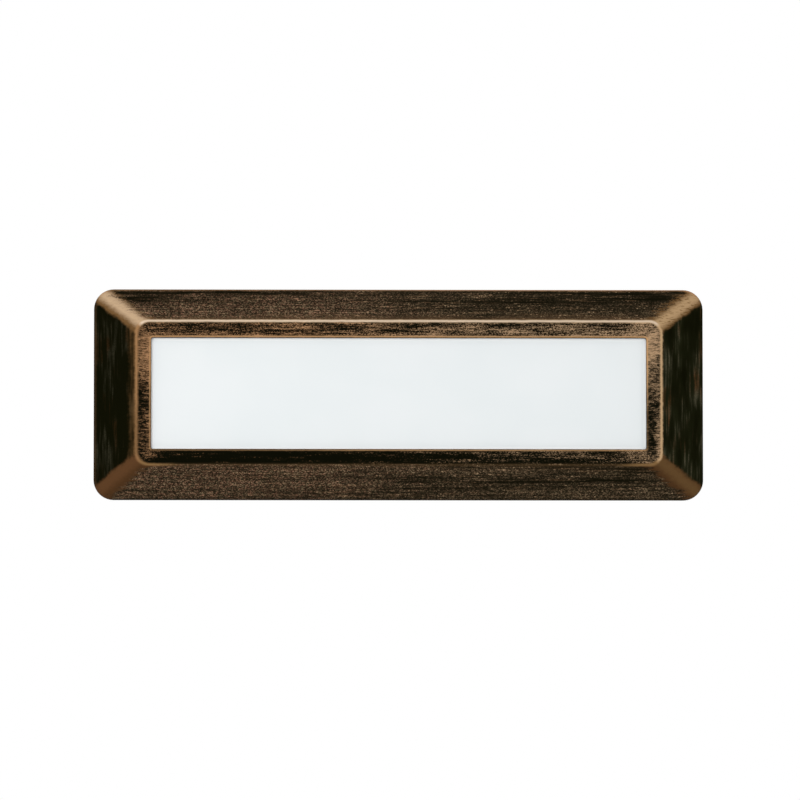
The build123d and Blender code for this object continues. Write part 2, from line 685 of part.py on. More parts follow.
def terminal_fixing_screws():
    """Screws between the poles, through the block into the tray's floor."""
    return [screw(x, z, TERMINAL_BACK_Y, FLOOR_FRONT_Y) for x, z in terminal_screw_places()]




def lead_level():
    """Depth of the leads where they lie on the driver's circuit board."""
    return circuit_levels()[1] + LEAD_RADIUS + THREAD_CLEARANCE


def supply_entries():
    """Heights at which the neutral and the live lead enter the driver's left end."""
    return [LEAD_SPACING * number for number in range(1, POLE_COUNT)]


def supply_lead(pole, entry_z):
    """Lead from the middle of a terminal pole to the driver's circuit board."""
    z = POLE_Z[pole]
    return lead(
        (TERMINAL_X, TUBE_Y, z),
        (TERMINAL_RIGHT_X + LEAD_RUN, TUBE_Y, z),
        (DRIVER_LEFT_X - DRIVER_EAR, lead_level(), entry_z),
        (DRIVER_LEFT_X + LEAD_TAIL, lead_level(), entry_z),
    )


def earth_levels():
    """Depths of the faces between the earth washer, the lug and the screw's head."""
    lug_front = FLOOR_BACK_Y + EARTH_WASHER
    return lug_front, lug_front + LUG_THICKNESS


def earth_washer():
    """Spring washer that bites into the tray's enamel."""
    lug_front = earth_levels()[0]
    ring = rod(EARTH_X, EARTH_Z, LUG_RADIUS, FLOOR_BACK_Y, lug_front)
    return ring - rod(EARTH_X, EARTH_Z, SCREW_RADIUS + HOLE_CLEARANCE, FLOOR_BACK_Y, lug_front)


def barrel_axis():
    """Start of the earth lug's barrel and the depth of its middle line."""
    return EARTH_X - LUG_RADIUS - LUG_BARREL_LENGTH, earth_levels()[0] + LUG_BARREL_RADIUS


def earth_lug():
    """Ring tag with a barrel for the earth lead."""
    front, back = earth_levels()
    start, level = barrel_axis()
    plane = Plane(origin=(start, level, EARTH_Z), x_dir=(0, 1, 0), z_dir=(1, 0, 0))
    barrel = extrude(plane * Circle(LUG_BARREL_RADIUS), amount=LUG_BARREL_LENGTH)
    half = LUG_BARREL_RADIUS
    lug = rod(EARTH_X, EARTH_Z, LUG_RADIUS, front, back) + barrel
    lug += block((start + LUG_BARREL_LENGTH / 2, EARTH_X), (front, back), (EARTH_Z - half, EARTH_Z + half))
    lug -= extrude(plane * Circle(LEAD_RADIUS + THREAD_CLEARANCE), amount=LUG_BARREL_LENGTH)
    return lug - rod(EARTH_X, EARTH_Z, SCREW_RADIUS + HOLE_CLEARANCE, front, back)


def earth_screw():
    """Screw through the earth lug into the tray's floor."""
    return screw(EARTH_X, EARTH_Z, earth_levels()[1], FLOOR_FRONT_Y)


def earth_lead():
    """Lead from the earth pole down into the lug's barrel."""
    start, level = barrel_axis()
    return lead(
        (TERMINAL_X, TUBE_Y, EARTH_Z),
        (TERMINAL_RIGHT_X + LEAD_RUN / 2, TUBE_Y, EARTH_Z),
        (start - LEAD_RUN / 2, level, EARTH_Z),
        (start + LUG_BARREL_LENGTH, level, EARTH_Z),
    )


def entry_places():
    """Places along the light of the cable gland and the blanking plug."""
    return -ENTRY_SPACING / 2, ENTRY_SPACING / 2


def end_wall_groove(side):
    """Ring cut into the outside of an end wall, which marks a knock-out entry."""
    plane = Plane(origin=(side * BOX[0] / 2, BOX_BACK_Y - KNOCKOUT_BACK_SPACE, 0), z_dir=(-side, 0, 0))
    ring = Circle(KNOCKOUT_RADIUS) - Circle(KNOCKOUT_RADIUS - KNOCKOUT_GROOVE)
    return extrude(plane * ring, amount=KNOCKOUT_DEPTH)


def wall_box():
    """Box built into the wall, with mortar keys outside, fixing pads and two cable entries."""
    inner_corner = max(BOX_CORNER - BOX_WALL, 0.25 * BOX_CORNER)
    box = slab(BOX, BOX_CORNER, BOX_FRONT_Y, BOX_BACK_Y)
    for number in range(KEY_COUNT):
        front = BOX_FRONT_Y + KEY_FRONT_SPACE + KEY_PITCH * number
        key = [size + 2 * KEY_HEIGHT for size in BOX]
        box += slab(key, BOX_CORNER + KEY_HEIGHT, front, front + KEY_WIDTH)
    box -= slab(BOX_INSIDE, inner_corner, BOX_FRONT_Y, BOX_FLOOR_Y)
    for x in both_sides(FIXING_SPACING / 2):
        box += rod(x, 0, FIXING_PAD_RADIUS, BOX_FLOOR_Y - FIXING_PAD, BOX_FLOOR_Y)
        box -= rod(x, 0, FIXING_RADIUS, BOX_FLOOR_Y - FIXING_PAD, BOX_BACK_Y)
    for x in entry_places():
        box -= rod(x, 0, ENTRY_THREAD + ENTRY_CLEARANCE, BOX_FLOOR_Y, BOX_BACK_Y)
    return box - end_wall_groove(-1) - end_wall_groove(1)


def entry_washers():
    """Sealing washers outside the box, under the gland and the plug."""
    bore = ENTRY_THREAD + THREAD_CLEARANCE
    return [
        rod(x, 0, WASHER_RADIUS, BOX_BACK_Y, ENTRY_SEAT_Y) - rod(x, 0, bore, BOX_BACK_Y, ENTRY_SEAT_Y)
        for x in entry_places()
    ]


def entry_locknuts():
    """Locknuts inside the box, on the gland and the plug."""
    front = BOX_FLOOR_Y - LOCKNUT_THICKNESS
    bore = ENTRY_THREAD + THREAD_CLEARANCE
    return [
        hexagon(x, 0, LOCKNUT_FLATS, front, BOX_FLOOR_Y) - rod(x, 0, bore, front, BOX_FLOOR_Y)
        for x in entry_places()
    ]


def gland_body():
    """Hexagonal gland body with a thread through the box and a neck for its cap."""
    x = entry_places()[0]
    body = rod(x, 0, ENTRY_THREAD, ENTRY_FRONT_Y, NECK_BACK_Y)
    body += hexagon(x, 0, GLAND_FLATS, ENTRY_SEAT_Y, HEX_BACK_Y)
    body -= rod(x, 0, GLAND_BORE, ENTRY_FRONT_Y, NECK_BACK_Y)
    return body - rod(x, 0, GLAND_SOCKET_RADIUS, SOCKET_FLOOR_Y, NECK_BACK_Y)


def gland_seal():
    """Rubber sleeve that the cap squeezes onto the cable."""
    x = entry_places()[0]
    sleeve = rod(x, 0, GLAND_SOCKET_RADIUS - THREAD_CLEARANCE, SOCKET_FLOOR_Y, CAP_SHOULDER_Y)
    return sleeve - rod(x, 0, CABLE_RADIUS, SOCKET_FLOOR_Y, CAP_SHOULDER_Y)


def gland_cap():
    """Domed hexagonal cap screwed over the gland's neck."""
    x = entry_places()[0]
    front = HEX_BACK_Y + GLAND_CAP_GAP
    hex_back = CAP_SHOULDER_Y + GLAND_CAP_WALL
    dome_back = hex_back + GLAND_CAP_DOME
    dome_ends = [(GLAND_FLATS / 2, hex_back), (GLAND_BORE + GLAND_CAP_WALL, dome_back)]
    dome = loft([facing(y) * Pos(x, 0) * Circle(radius) for radius, y in dome_ends], ruled=True)
    cap = hexagon(x, 0, GLAND_FLATS, front, hex_back) + dome
    cap -= rod(x, 0, ENTRY_THREAD + GLAND_CAP_THREAD_CLEARANCE, front, CAP_SHOULDER_Y)
    return cap - rod(x, 0, GLAND_BORE, CAP_SHOULDER_Y, dome_back)


def blanking_plug():
    """Hollow threaded plug with a slotted round head."""
    x = entry_places()[1]
    back = ENTRY_SEAT_Y + PLUG_HEAD
    plug = rod(x, 0, ENTRY_THREAD, ENTRY_FRONT_Y, ENTRY_SEAT_Y)
    plug += rod(x, 0, PLUG_HEAD_RADIUS, ENTRY_SEAT_Y, back)
    plug -= rod(x, 0, GLAND_SOCKET_RADIUS, ENTRY_FRONT_Y, ENTRY_SEAT_Y)
    half, half_slot = PLUG_SLOT_LENGTH / 2, PLUG_SLOT / 2
    return plug - block((x - half, x + half), (back - PLUG_SLOT_DEPTH, back), (-half_slot, half_slot))


def post(x, y, radius, low, high):
    """Upright cylinder."""
    return extrude(Plane(origin=(x, y, low)) * Circle(radius), amount=high - low)


def clip_bracket():
    """Folded bracket on the tray's flange, with two ears for the hinge pin."""
    outer_x = RIVET_X + RIVET_HEAD_RADIUS + RIVET_SPACE
    levels = (FLANGE_BACK_Y, BRACKET_BACK_Y)
    bracket = block((HINGE_X - BRACKET_REACH, outer_x), levels, (-BRACKET_HALF_HEIGHT, BRACKET_HALF_HEIGHT))
    for low, high in ((EAR_INNER, EAR_OUTER), (-EAR_OUTER, -EAR_INNER)):
        bracket += block((HINGE_X - EAR_RADIUS, HINGE_X + EAR_RADIUS), (FLANGE_BACK_Y, HINGE_Y), (low, high))
        bracket += post(HINGE_X, HINGE_Y, EAR_RADIUS, low, high)
        bracket -= post(HINGE_X, HINGE_Y, PIN_RADIUS, low, high)
    for z in both_sides(RIVET_HEIGHT):
        bracket -= rod(RIVET_X, z, RIVET_RADIUS, *levels)
    return bracket


def clip_rivets():
    """Rivets that hold both brackets on the tray's flange."""
    front, back = FLANGE_FRONT_Y - RIVET_HEAD, BRACKET_BACK_Y + RIVET_HEAD
    rivets = []
    for x, z in clip_rivet_places():
        rivet = rod(x, z, RIVET_RADIUS, front, back)
        rivet += rod(x, z, RIVET_HEAD_RADIUS, front, FLANGE_FRONT_Y)
        rivets.append(rivet + rod(x, z, RIVET_HEAD_RADIUS, BRACKET_BACK_Y, back))
    return rivets


def clip_pin():
    """Hinge pin with a head outside each ear."""
    pin = post(HINGE_X, HINGE_Y, PIN_RADIUS, -EAR_OUTER, EAR_OUTER)
    for low in (EAR_OUTER, -EAR_OUTER - PIN_HEAD):
        pin += post(HINGE_X, HINGE_Y, PIN_HEAD_RADIUS, low, low + PIN_HEAD)
    return pin


def arm_lean():
    """Outward lean of the arm at rest, which brings its grip to GRIP_GAP from the box's end wall."""
    contact = KNUCKLE_OUTSIDE + GRIP_THICKNESS
    reach = BOX_INSIDE[0] / 2 - GRIP_GAP - HINGE_X
    return math.asin(reach / math.hypot(contact, GRIP_END)) - math.atan2(contact, GRIP_END)


def on_arm(shape):
    """Places a shape that was drawn from the hinge along a straight arm, onto the leaning arm."""
    return Pos(HINGE_X, HINGE_Y, 0) * Rot(0, 0, -math.degrees(arm_lean())) * shape


def arm_plate():
    """Bent strip of the clip's arm, drawn from the hinge along a straight arm."""
    middle = (KNUCKLE_INSIDE + KNUCKLE_OUTSIDE) / 2
    line = FilletPolyline(
        (middle, 0), (middle, ARM_LENGTH), (middle - TIP_DROP, ARM_LENGTH + TIP_LENGTH), radius=TIP_BEND
    )
    return extrude(trace(line, line_width=ARM_SHEET), amount=ARM_HALF_HEIGHT, both=True)


def clip_arm():
    """Arm of spring strip with a rolled knuckle, open in the middle for the spring."""
    arm = arm_plate() + post(0, 0, KNUCKLE_OUTSIDE, -ARM_HALF_HEIGHT, ARM_HALF_HEIGHT)
    arm -= post(0, 0, KNUCKLE_INSIDE, -ARM_HALF_HEIGHT, ARM_HALF_HEIGHT)
    room = SPRING_HALF_HEIGHT + SPRING_WIRE / 2 + SPRING_ROOM
    arm -= block((-KNUCKLE_OUTSIDE, KNUCKLE_OUTSIDE), (-KNUCKLE_OUTSIDE, ARM_WINDOW), (-room, room))
    return on_arm(arm)


def clip_grip():
    """Rubber sleeve on the arm, which presses on the box's end wall."""
    half = ARM_HALF_HEIGHT + GRIP_THICKNESS
    x_range = (KNUCKLE_INSIDE - GRIP_THICKNESS, KNUCKLE_OUTSIDE + GRIP_THICKNESS)
    sleeve = block(x_range, (GRIP_END - GRIP_LENGTH, GRIP_END), (-half, half))
    sleeve = fillet(sleeve.edges().filter_by(Axis.Z), GRIP_ROUND)
    return on_arm(sleeve - arm_plate())


def leg_lean():
    """Inward lean of the spring's long leg from the arm, which brings it to rest under the arm's plate."""
    level = KNUCKLE_INSIDE - SPRING_GAP
    wire_outside = SPRING_RADIUS + SPRING_WIRE / 2
    return math.asin(wire_outside / math.hypot(ARM_WINDOW, level)) - math.atan2(level, ARM_WINDOW)


def coil_point(angle, height):
    """Point on the spring's coil at that angle, and the coil's direction there."""
    across, along = math.cos(angle), math.sin(angle)
    place = Vector(HINGE_X + SPRING_RADIUS * across, HINGE_Y + SPRING_RADIUS * along, height)
    climb = SPRING_PITCH / (2 * math.pi * SPRING_RADIUS)
    return place, Vector(-along, across, climb).normalized()


def spring_path():
    """Middle line of the torsion spring: the bracket's leg, quarter turns of coil, the arm's leg."""
    first = -math.pi / 2
    last = 2 * math.pi * SPRING_TURNS + leg_lean() - arm_lean()
    steps = 4 * SPRING_TURNS + 1
    nodes = []
    for step in range(steps + 1):
        share = step / steps
        nodes.append(coil_point(first + (last - first) * share, SPRING_HALF_HEIGHT * (2 * share - 1)))
    start, end = nodes[0][0], nodes[-1][0]
    end_way = Vector(-math.sin(last), math.cos(last), 0)
    nodes[0] = (start, Vector(1, 0, 0))
    nodes[-1] = (end, end_way)
    edges = [Line(start - Vector(FIXED_LEG, 0, 0), start)]
    for (here, way), (there, next_way) in zip(nodes, nodes[1:]):
        edges += biarc(here, way, there, next_way)
    edges.append(Line(end, end + end_way * MOVING_LEG))
    return Wire(edges)


def least_gap(path, samples):
    """Least gap between one turn of the spring and the next, measured on points of its middle line."""
    points = [path @ (number / samples) for number in range(samples + 1)]
    apart = int(samples * math.pi * SPRING_RADIUS / path.length)
    gaps = [
        (points[low] - points[high]).length
        for low in range(samples + 1)
        for high in range(low + apart, samples + 1)
    ]
    return min(gaps) - SPRING_WIRE


def clip_spring():
    """Torsion spring round the hinge pin."""
    path = spring_path()
    print("least gap between turns of the clip spring, mm:", round(least_gap(path, GAP_SAMPLES), 3))
    section = Plane(origin=path @ 0, z_dir=path % 0) * Circle(SPRING_WIRE / 2)
    return sweep(section, path=path)


def box_nodes():
    """Nodes that stay in the wall."""
    return {
        "wall_box": wall_box(),
        "entry_washers": entry_washers(),
        "entry_locknuts": entry_locknuts(),
        "gland_body": gland_body(),
        "gland_seal": gland_seal(),
        "gland_cap": gland_cap(),
        "blanking_plug": blanking_plug(),
    }


def front_nodes():
    """Nodes of the frame, the window and the light source."""
    return {
        "front_frame": front_frame(),
        "wall_seal": wall_seal(),
        "diffuser": diffuser(),
        "diffuser_seal": diffuser_seal(),
        "reflector_tray": reflector_tray(),
        "tray_screws": tray_screws(),
        "thermal_pad": thermal_pad(),
        "led_board": led_board(),
        "led_chips": led_chips(),
        "led_board_screws": led_board_screws(),
        "tray_grommet": tray_grommet(),
        "led_lead_positive": led_lead(1),
        "led_lead_negative": led_lead(-1),
    }


def supply_nodes():
    """Nodes of the driver, the supply terminals and the earth connection."""
    neutral_z, live_z = supply_entries()
    return {
        "driver_case": driver_case(),
        "driver_lid": driver_lid(),
        "driver_circuit": driver_circuit(),
        "driver_transformer": driver_transformer(),
        "driver_capacitors": driver_capacitors(),
        "driver_screws": driver_screws(),
        "terminal_block": terminal_block(),
        "terminal_tubes": [terminal_tube(z) for z in POLE_Z],
        "terminal_clamp_screws": terminal_clamp_screws(),
        "terminal_fixing_screws": terminal_fixing_screws(),
        "live_lead": supply_lead(2, live_z),
        "neutral_lead": supply_lead(1, neutral_z),
        "earth_lead": earth_lead(),
        "earth_washer": earth_washer(),
        "earth_lug": earth_lug(),
        "earth_screw": earth_screw(),
    }


def clip_nodes():
    """Nodes of the two clips: the left one is the mirror image of the right one."""
    pieces = {
        "clip_bracket": clip_bracket(),
        "clip_pin": clip_pin(),
        "clip_arm": clip_arm(),
        "clip_grip": clip_grip(),
        "clip_spring": clip_spring(),
    }
    nodes = {"clip_rivets": clip_rivets()}
    for name, shape in pieces.items():
        nodes[f"right_{name}"] = shape
        nodes[f"left_{name}"] = mirror(shape, about=Plane.YZ)
    return nodes


def main():
    """Writes one STEP file for each node."""
    os.makedirs("parts", exist_ok=True)
    for nodes in (box_nodes(), front_nodes(), supply_nodes(), clip_nodes()):
        for name, shape in nodes.items():
            pieces = shape if isinstance(shape, list) else [shape]
            export_step(Compound(children=[piece.solid() for piece in pieces]), f"parts/{name}.step")


if __name__ == "__main__":
    main()
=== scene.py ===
"""Dressed model of a recessed rectangular wall light.

A bevelled cast frame with a rubbed bronze patina surrounds an opal window. Behind it hang the reflector
tray with its light source, the driver and the supply terminals, and two sprung clips hold this unit in a
box in the wall. Sizes are in millimetres, X runs along the light, Y into the wall and Z up.
"""

import logging
import math
from abc import ABC, abstractmethod
from dataclasses import astuple, dataclass
from enum import Enum

import bpy
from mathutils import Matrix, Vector, noise


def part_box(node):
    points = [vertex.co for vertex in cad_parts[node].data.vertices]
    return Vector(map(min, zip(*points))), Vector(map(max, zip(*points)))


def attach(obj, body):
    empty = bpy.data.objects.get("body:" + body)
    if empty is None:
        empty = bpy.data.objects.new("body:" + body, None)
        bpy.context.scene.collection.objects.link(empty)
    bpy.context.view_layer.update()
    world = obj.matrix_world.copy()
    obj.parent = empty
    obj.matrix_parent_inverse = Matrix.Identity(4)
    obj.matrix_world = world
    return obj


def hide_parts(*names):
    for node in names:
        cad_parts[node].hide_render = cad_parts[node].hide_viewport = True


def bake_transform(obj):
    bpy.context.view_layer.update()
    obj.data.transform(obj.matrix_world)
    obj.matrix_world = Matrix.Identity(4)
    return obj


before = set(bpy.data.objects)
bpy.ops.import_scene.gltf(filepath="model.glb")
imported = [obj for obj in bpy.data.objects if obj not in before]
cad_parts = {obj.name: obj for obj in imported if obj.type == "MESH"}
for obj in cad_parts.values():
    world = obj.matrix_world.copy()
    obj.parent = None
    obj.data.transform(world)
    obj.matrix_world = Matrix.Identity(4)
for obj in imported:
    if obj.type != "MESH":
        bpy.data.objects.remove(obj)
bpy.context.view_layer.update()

MM = 0.001
FULL_TURN = 2 * math.pi
QUARTER_TURN = math.pi / 2
ALONG = Vector((1.0, 0.0, 0.0))
UP = Vector((0.0, 0.0, 1.0))
LOG = logging.getLogger("wall_light")

Colour = tuple[int, int, int]
Pair = tuple[float, float]
Triple = tuple[float, float, float]
Face = tuple[int, ...]

# How far a pattern's seed shifts it along X, Y and Z
SEED_SHIFT: Triple = (1.0, 1.7, 2.3)
# Sockets of Blender's mix node for colours: share, first and second, and the result
MIX_INPUTS = (0, 6, 7)
MIX_OUTPUT = 2


def linear(colour: Colour) -> tuple[float, float, float, float]:
    """Turns a colour in the usual steps of 0 to 255 into the renderer's linear light.

    Args:
        colour: Red, green and blue, from 0 to 255.

    Returns:
        Linear red, green and blue, and full opacity.
    """
    levels = [step / 255 for step in colour]
    light = [v / 12.92 if v <= 0.04045 else ((v + 0.055) / 1.055) ** 2.4 for v in levels]
    return (*light, 1.0)


class Signal:
    """A number or colour on its way through the nodes of one material."""

    def __init__(self, shade: "Shade", socket: bpy.types.NodeSocket) -> None:
        """Keeps the material and the socket that gives the signal."""
        self.shade = shade
        self.socket = socket

    def __add__(self, other: "Operand") -> "Signal":
        """Adds a number or another signal."""
        return self.shade.math("ADD", self, other)

    def __sub__(self, other: "Operand") -> "Signal":
        """Takes away a number or another signal."""
        return self.shade.math("SUBTRACT", self, other)

    def __mul__(self, other: "Operand") -> "Signal":
        """Multiplies by a number or another signal."""
        return self.shade.math("MULTIPLY", self, other)

    def __abs__(self) -> "Signal":
        """Drops the sign."""
        return self.shade.math("ABSOLUTE", self)

    def rest(self) -> "Signal":
        """Gives what is left of a share: one minus the signal."""
        return self.shade.math("SUBTRACT", 1.0, self)

    def most(self, other: "Operand") -> "Signal":
        """Takes the larger of two."""
        return self.shade.math("MAXIMUM", self, other)

    def from_nearest(self, pitch: float) -> "Signal":
        """Measures the distance to the nearest whole number of pitches."""
        return self.shade.math("PINGPONG", self, pitch / 2)

    def smooth(self, start: float, end: float) -> "Signal":
        """Goes softly from 0 to 1.

        Args:
            start: The signal's value where the result is 0.
            end: The signal's value where the result is 1.

        Returns:
            The soft step.
        """
        step = self.shade.node("ShaderNodeMapRange", interpolation_type="SMOOTHSTEP")
        self.shade.give(self, step.inputs["Value"])
        step.inputs["From Min"].default_value = start
        step.inputs["From Max"].default_value = end
        return Signal(self.shade, step.outputs["Result"])

    def bump(self, middle: float, half_width: float) -> "Signal":
        """Is 1 at a value of the signal and fades to 0 on both sides of it."""
        return abs(self - middle).smooth(half_width, 0.0)


Operand = Signal | float | Colour


@dataclass(frozen=True)
class Grain:
    """Grain of a pattern: its size along X, Y and Z, the seed that shifts it and its finer layers."""

    size: Triple
    seed: float = 0.0
    detail: float = 2.0

    @classmethod
    def even(cls, size: float, seed: float = 0.0, detail: float = 2.0) -> "Grain":
        """Makes a grain of the same size all ways."""
        return cls((size, size, size), seed, detail)


class Shade:
    """One material and the nodes that make its colour, gloss and relief."""

    def __init__(self, name: str) -> None:
        """Makes an empty material.

        Args:
            name: Name of the material.
        """
        self.material = bpy.data.materials.new(name)
        self.material.use_nodes = True
        self.tree = self.material.node_tree
        self.shader = self.tree.nodes["Principled BSDF"]

    def node(self, kind: str, **settings: object) -> bpy.types.Node:
        """Adds a node.

        Args:
            kind: Blender's name of the node type.
            settings: Properties to set on it.

        Returns:
            The new node.
        """
        made = self.tree.nodes.new(kind)
        for name, value in settings.items():
            setattr(made, name, value)
        return made

    def give(self, value: Operand, socket: bpy.types.NodeSocket) -> None:
        """Links a signal to a socket, or sets a number or colour on it.

        Args:
            value: What the socket gets.
            socket: The input socket.
        """
        if isinstance(value, Signal):
            self.tree.links.new(value.socket, socket)
        elif isinstance(value, tuple):
            socket.default_value = linear(value)
        else:
            socket.default_value = value

    def math(self, operation: str, *values: Operand) -> Signal:
        """Works out one sum on numbers and signals.

        Args:
            operation: Blender's name of the sum.
            values: What goes into it.

        Returns:
            The result.
        """
        made = self.node("ShaderNodeMath", operation=operation)
        for value, socket in zip(values, made.inputs):
            self.give(value, socket)
        return Signal(self, made.outputs[0])

    def split(self, vector: bpy.types.NodeSocket) -> tuple[Signal, Signal, Signal]:
        """Takes a vector apart.

        Args:
            vector: The socket that gives it.

        Returns:
            Its three parts.
        """
        parts = self.node("ShaderNodeSeparateXYZ")
        self.tree.links.new(vector, parts.inputs[0])
        return tuple(Signal(self, part) for part in parts.outputs)

    def place(self, grain: Grain) -> bpy.types.NodeSocket:
        """Gives the place on the object, counted in grains.

        Args:
            grain: The grain.

        Returns:
            The socket with the place.
        """
        where = self.node("ShaderNodeTexCoord").outputs["Object"]
        scaled = self.node("ShaderNodeVectorMath", operation="MULTIPLY_ADD")
        self.tree.links.new(where, scaled.inputs[0])
        scaled.inputs[1].default_value = [1 / (MM * size) for size in grain.size]
        scaled.inputs[2].default_value = [shift * grain.seed for shift in SEED_SHIFT]
        return scaled.outputs[0]

    def axes(self) -> tuple[Signal, Signal, Signal]:
        """Gives the place on the object in millimetres along X, Y and Z."""
        return self.split(self.place(Grain.even(1.0)))

    def texture(self, kind: str, grain: Grain) -> bpy.types.Node:
        """Adds a texture.

        Args:
            kind: Blender's name of the node type.
            grain: Its grain.

        Returns:
            The texture's node.
        """
        made = self.node(kind)
        self.tree.links.new(self.place(grain), made.inputs["Vector"])
        made.inputs["Scale"].default_value = 1.0
        return made

    def noise(self, grain: Grain) -> Signal:
        """Gives cloudy noise.

        Args:
            grain: Size of its clouds.

        Returns:
            The noise, from 0 to 1 and around a half.
        """
        made = self.texture("ShaderNodeTexNoise", grain)
        made.inputs["Detail"].default_value = grain.detail
        return Signal(self, made.outputs[0])

    def swing(self, grain: Grain) -> Signal:
        """Gives cloudy noise around zero."""
        return self.noise(grain) - 0.5

    def cells(self, grain: Grain) -> Signal:
        """Gives rounded cells: the distance from the middle of each."""
        return Signal(self, self.texture("ShaderNodeTexVoronoi", grain).outputs["Distance"])

    def grains(self, grain: Grain) -> Signal:
        """Gives each of many small cells a tone of its own, from 0 to 1."""
        return self.split(self.texture("ShaderNodeTexVoronoi", grain).outputs["Color"])[0]

    def measured(self, name: str) -> tuple[Signal, Signal, Signal]:
        """Reads three measures that a mesh carries at its points, by the attribute's name."""
        return self.split(self.node("ShaderNodeAttribute", attribute_name=name).outputs["Vector"])

    def mix(self, share: Operand, first: Operand, second: Operand) -> Signal:
        """Mixes two colours.

        Args:
            share: How much of the second colour shows, from 0 to 1.
            first: The colour below.
            second: The colour above.

        Returns:
            The mixed colour.
        """
        made = self.node("ShaderNodeMix", data_type="RGBA")
        for value, socket in zip((share, first, second), MIX_INPUTS):
            self.give(value, made.inputs[socket])
        return Signal(self, made.outputs[MIX_OUTPUT])

    def coat(
        self,
        colour: Operand,
        rough: Operand,
        metal: Operand = 0.0,
        relief: Signal | None = None,
        depth: float = 0.05,
        **constants: float,
    ) -> None:
        """Connects the finished layers to the shader.

        Args:
            colour: Base colour.
            rough: Roughness.
            metal: Share of bare metal.
            relief: Height pattern from 0 to 1.
            depth: Height of the relief in millimetres.
            constants: Numbers for other sockets, with underscores for the spaces in their names.
        """
        self.give(colour, self.shader.inputs["Base Color"])
        self.give(rough, self.shader.inputs["Roughness"])
        self.give(metal, self.shader.inputs["Metallic"])
        for name, value in constants.items():
            self.shader.inputs[name.replace("_", " ")].default_value = value
        if relief is not None:
            made = self.node("ShaderNodeBump")
            made.inputs["Distance"].default_value = depth * MM
            self.give(relief, made.inputs["Height"])
            self.tree.links.new(made.outputs["Normal"], self.shader.inputs["Normal"])


class Finish(ABC):
    """A surface finish that several pieces can share."""

    @abstractmethod
    def paint(self, shade: Shade) -> None:
        """Builds the finish's nodes in a new material."""

    def material(self, name: str) -> bpy.types.Material:
        """Gives the finish as a material, made at its first use.

        Args:
            name: Slot that the finish is for.

        Returns:
            The slot's material.
        """
        known = bpy.data.materials.get(f"{name}_finish")
        if known is not None:
            return known
        shade = Shade(f"{name}_finish")
        self.paint(shade)
        return shade.material


@dataclass(frozen=True)
class CastPlace:
    """Where a point lies on the casting, and the noise that all its layers share."""

    ridge: Signal
    lip: Signal
    edge: Signal
    mitre: Signal
    end: Signal
    height: Signal
    upper: Signal
    right: Signal
    grit: Signal
    ragged: Signal
    wander: Signal
    drag: Signal

    def across(self, left: float, right: float) -> Signal:
        """Goes from one number at the left end to another at the right end."""
        return self.right * (right - left) + left

    def up(self, low: float, high: float) -> Signal:
        """Goes from one number on the lower side to another on the upper side."""
        return self.upper * (high - low) + low


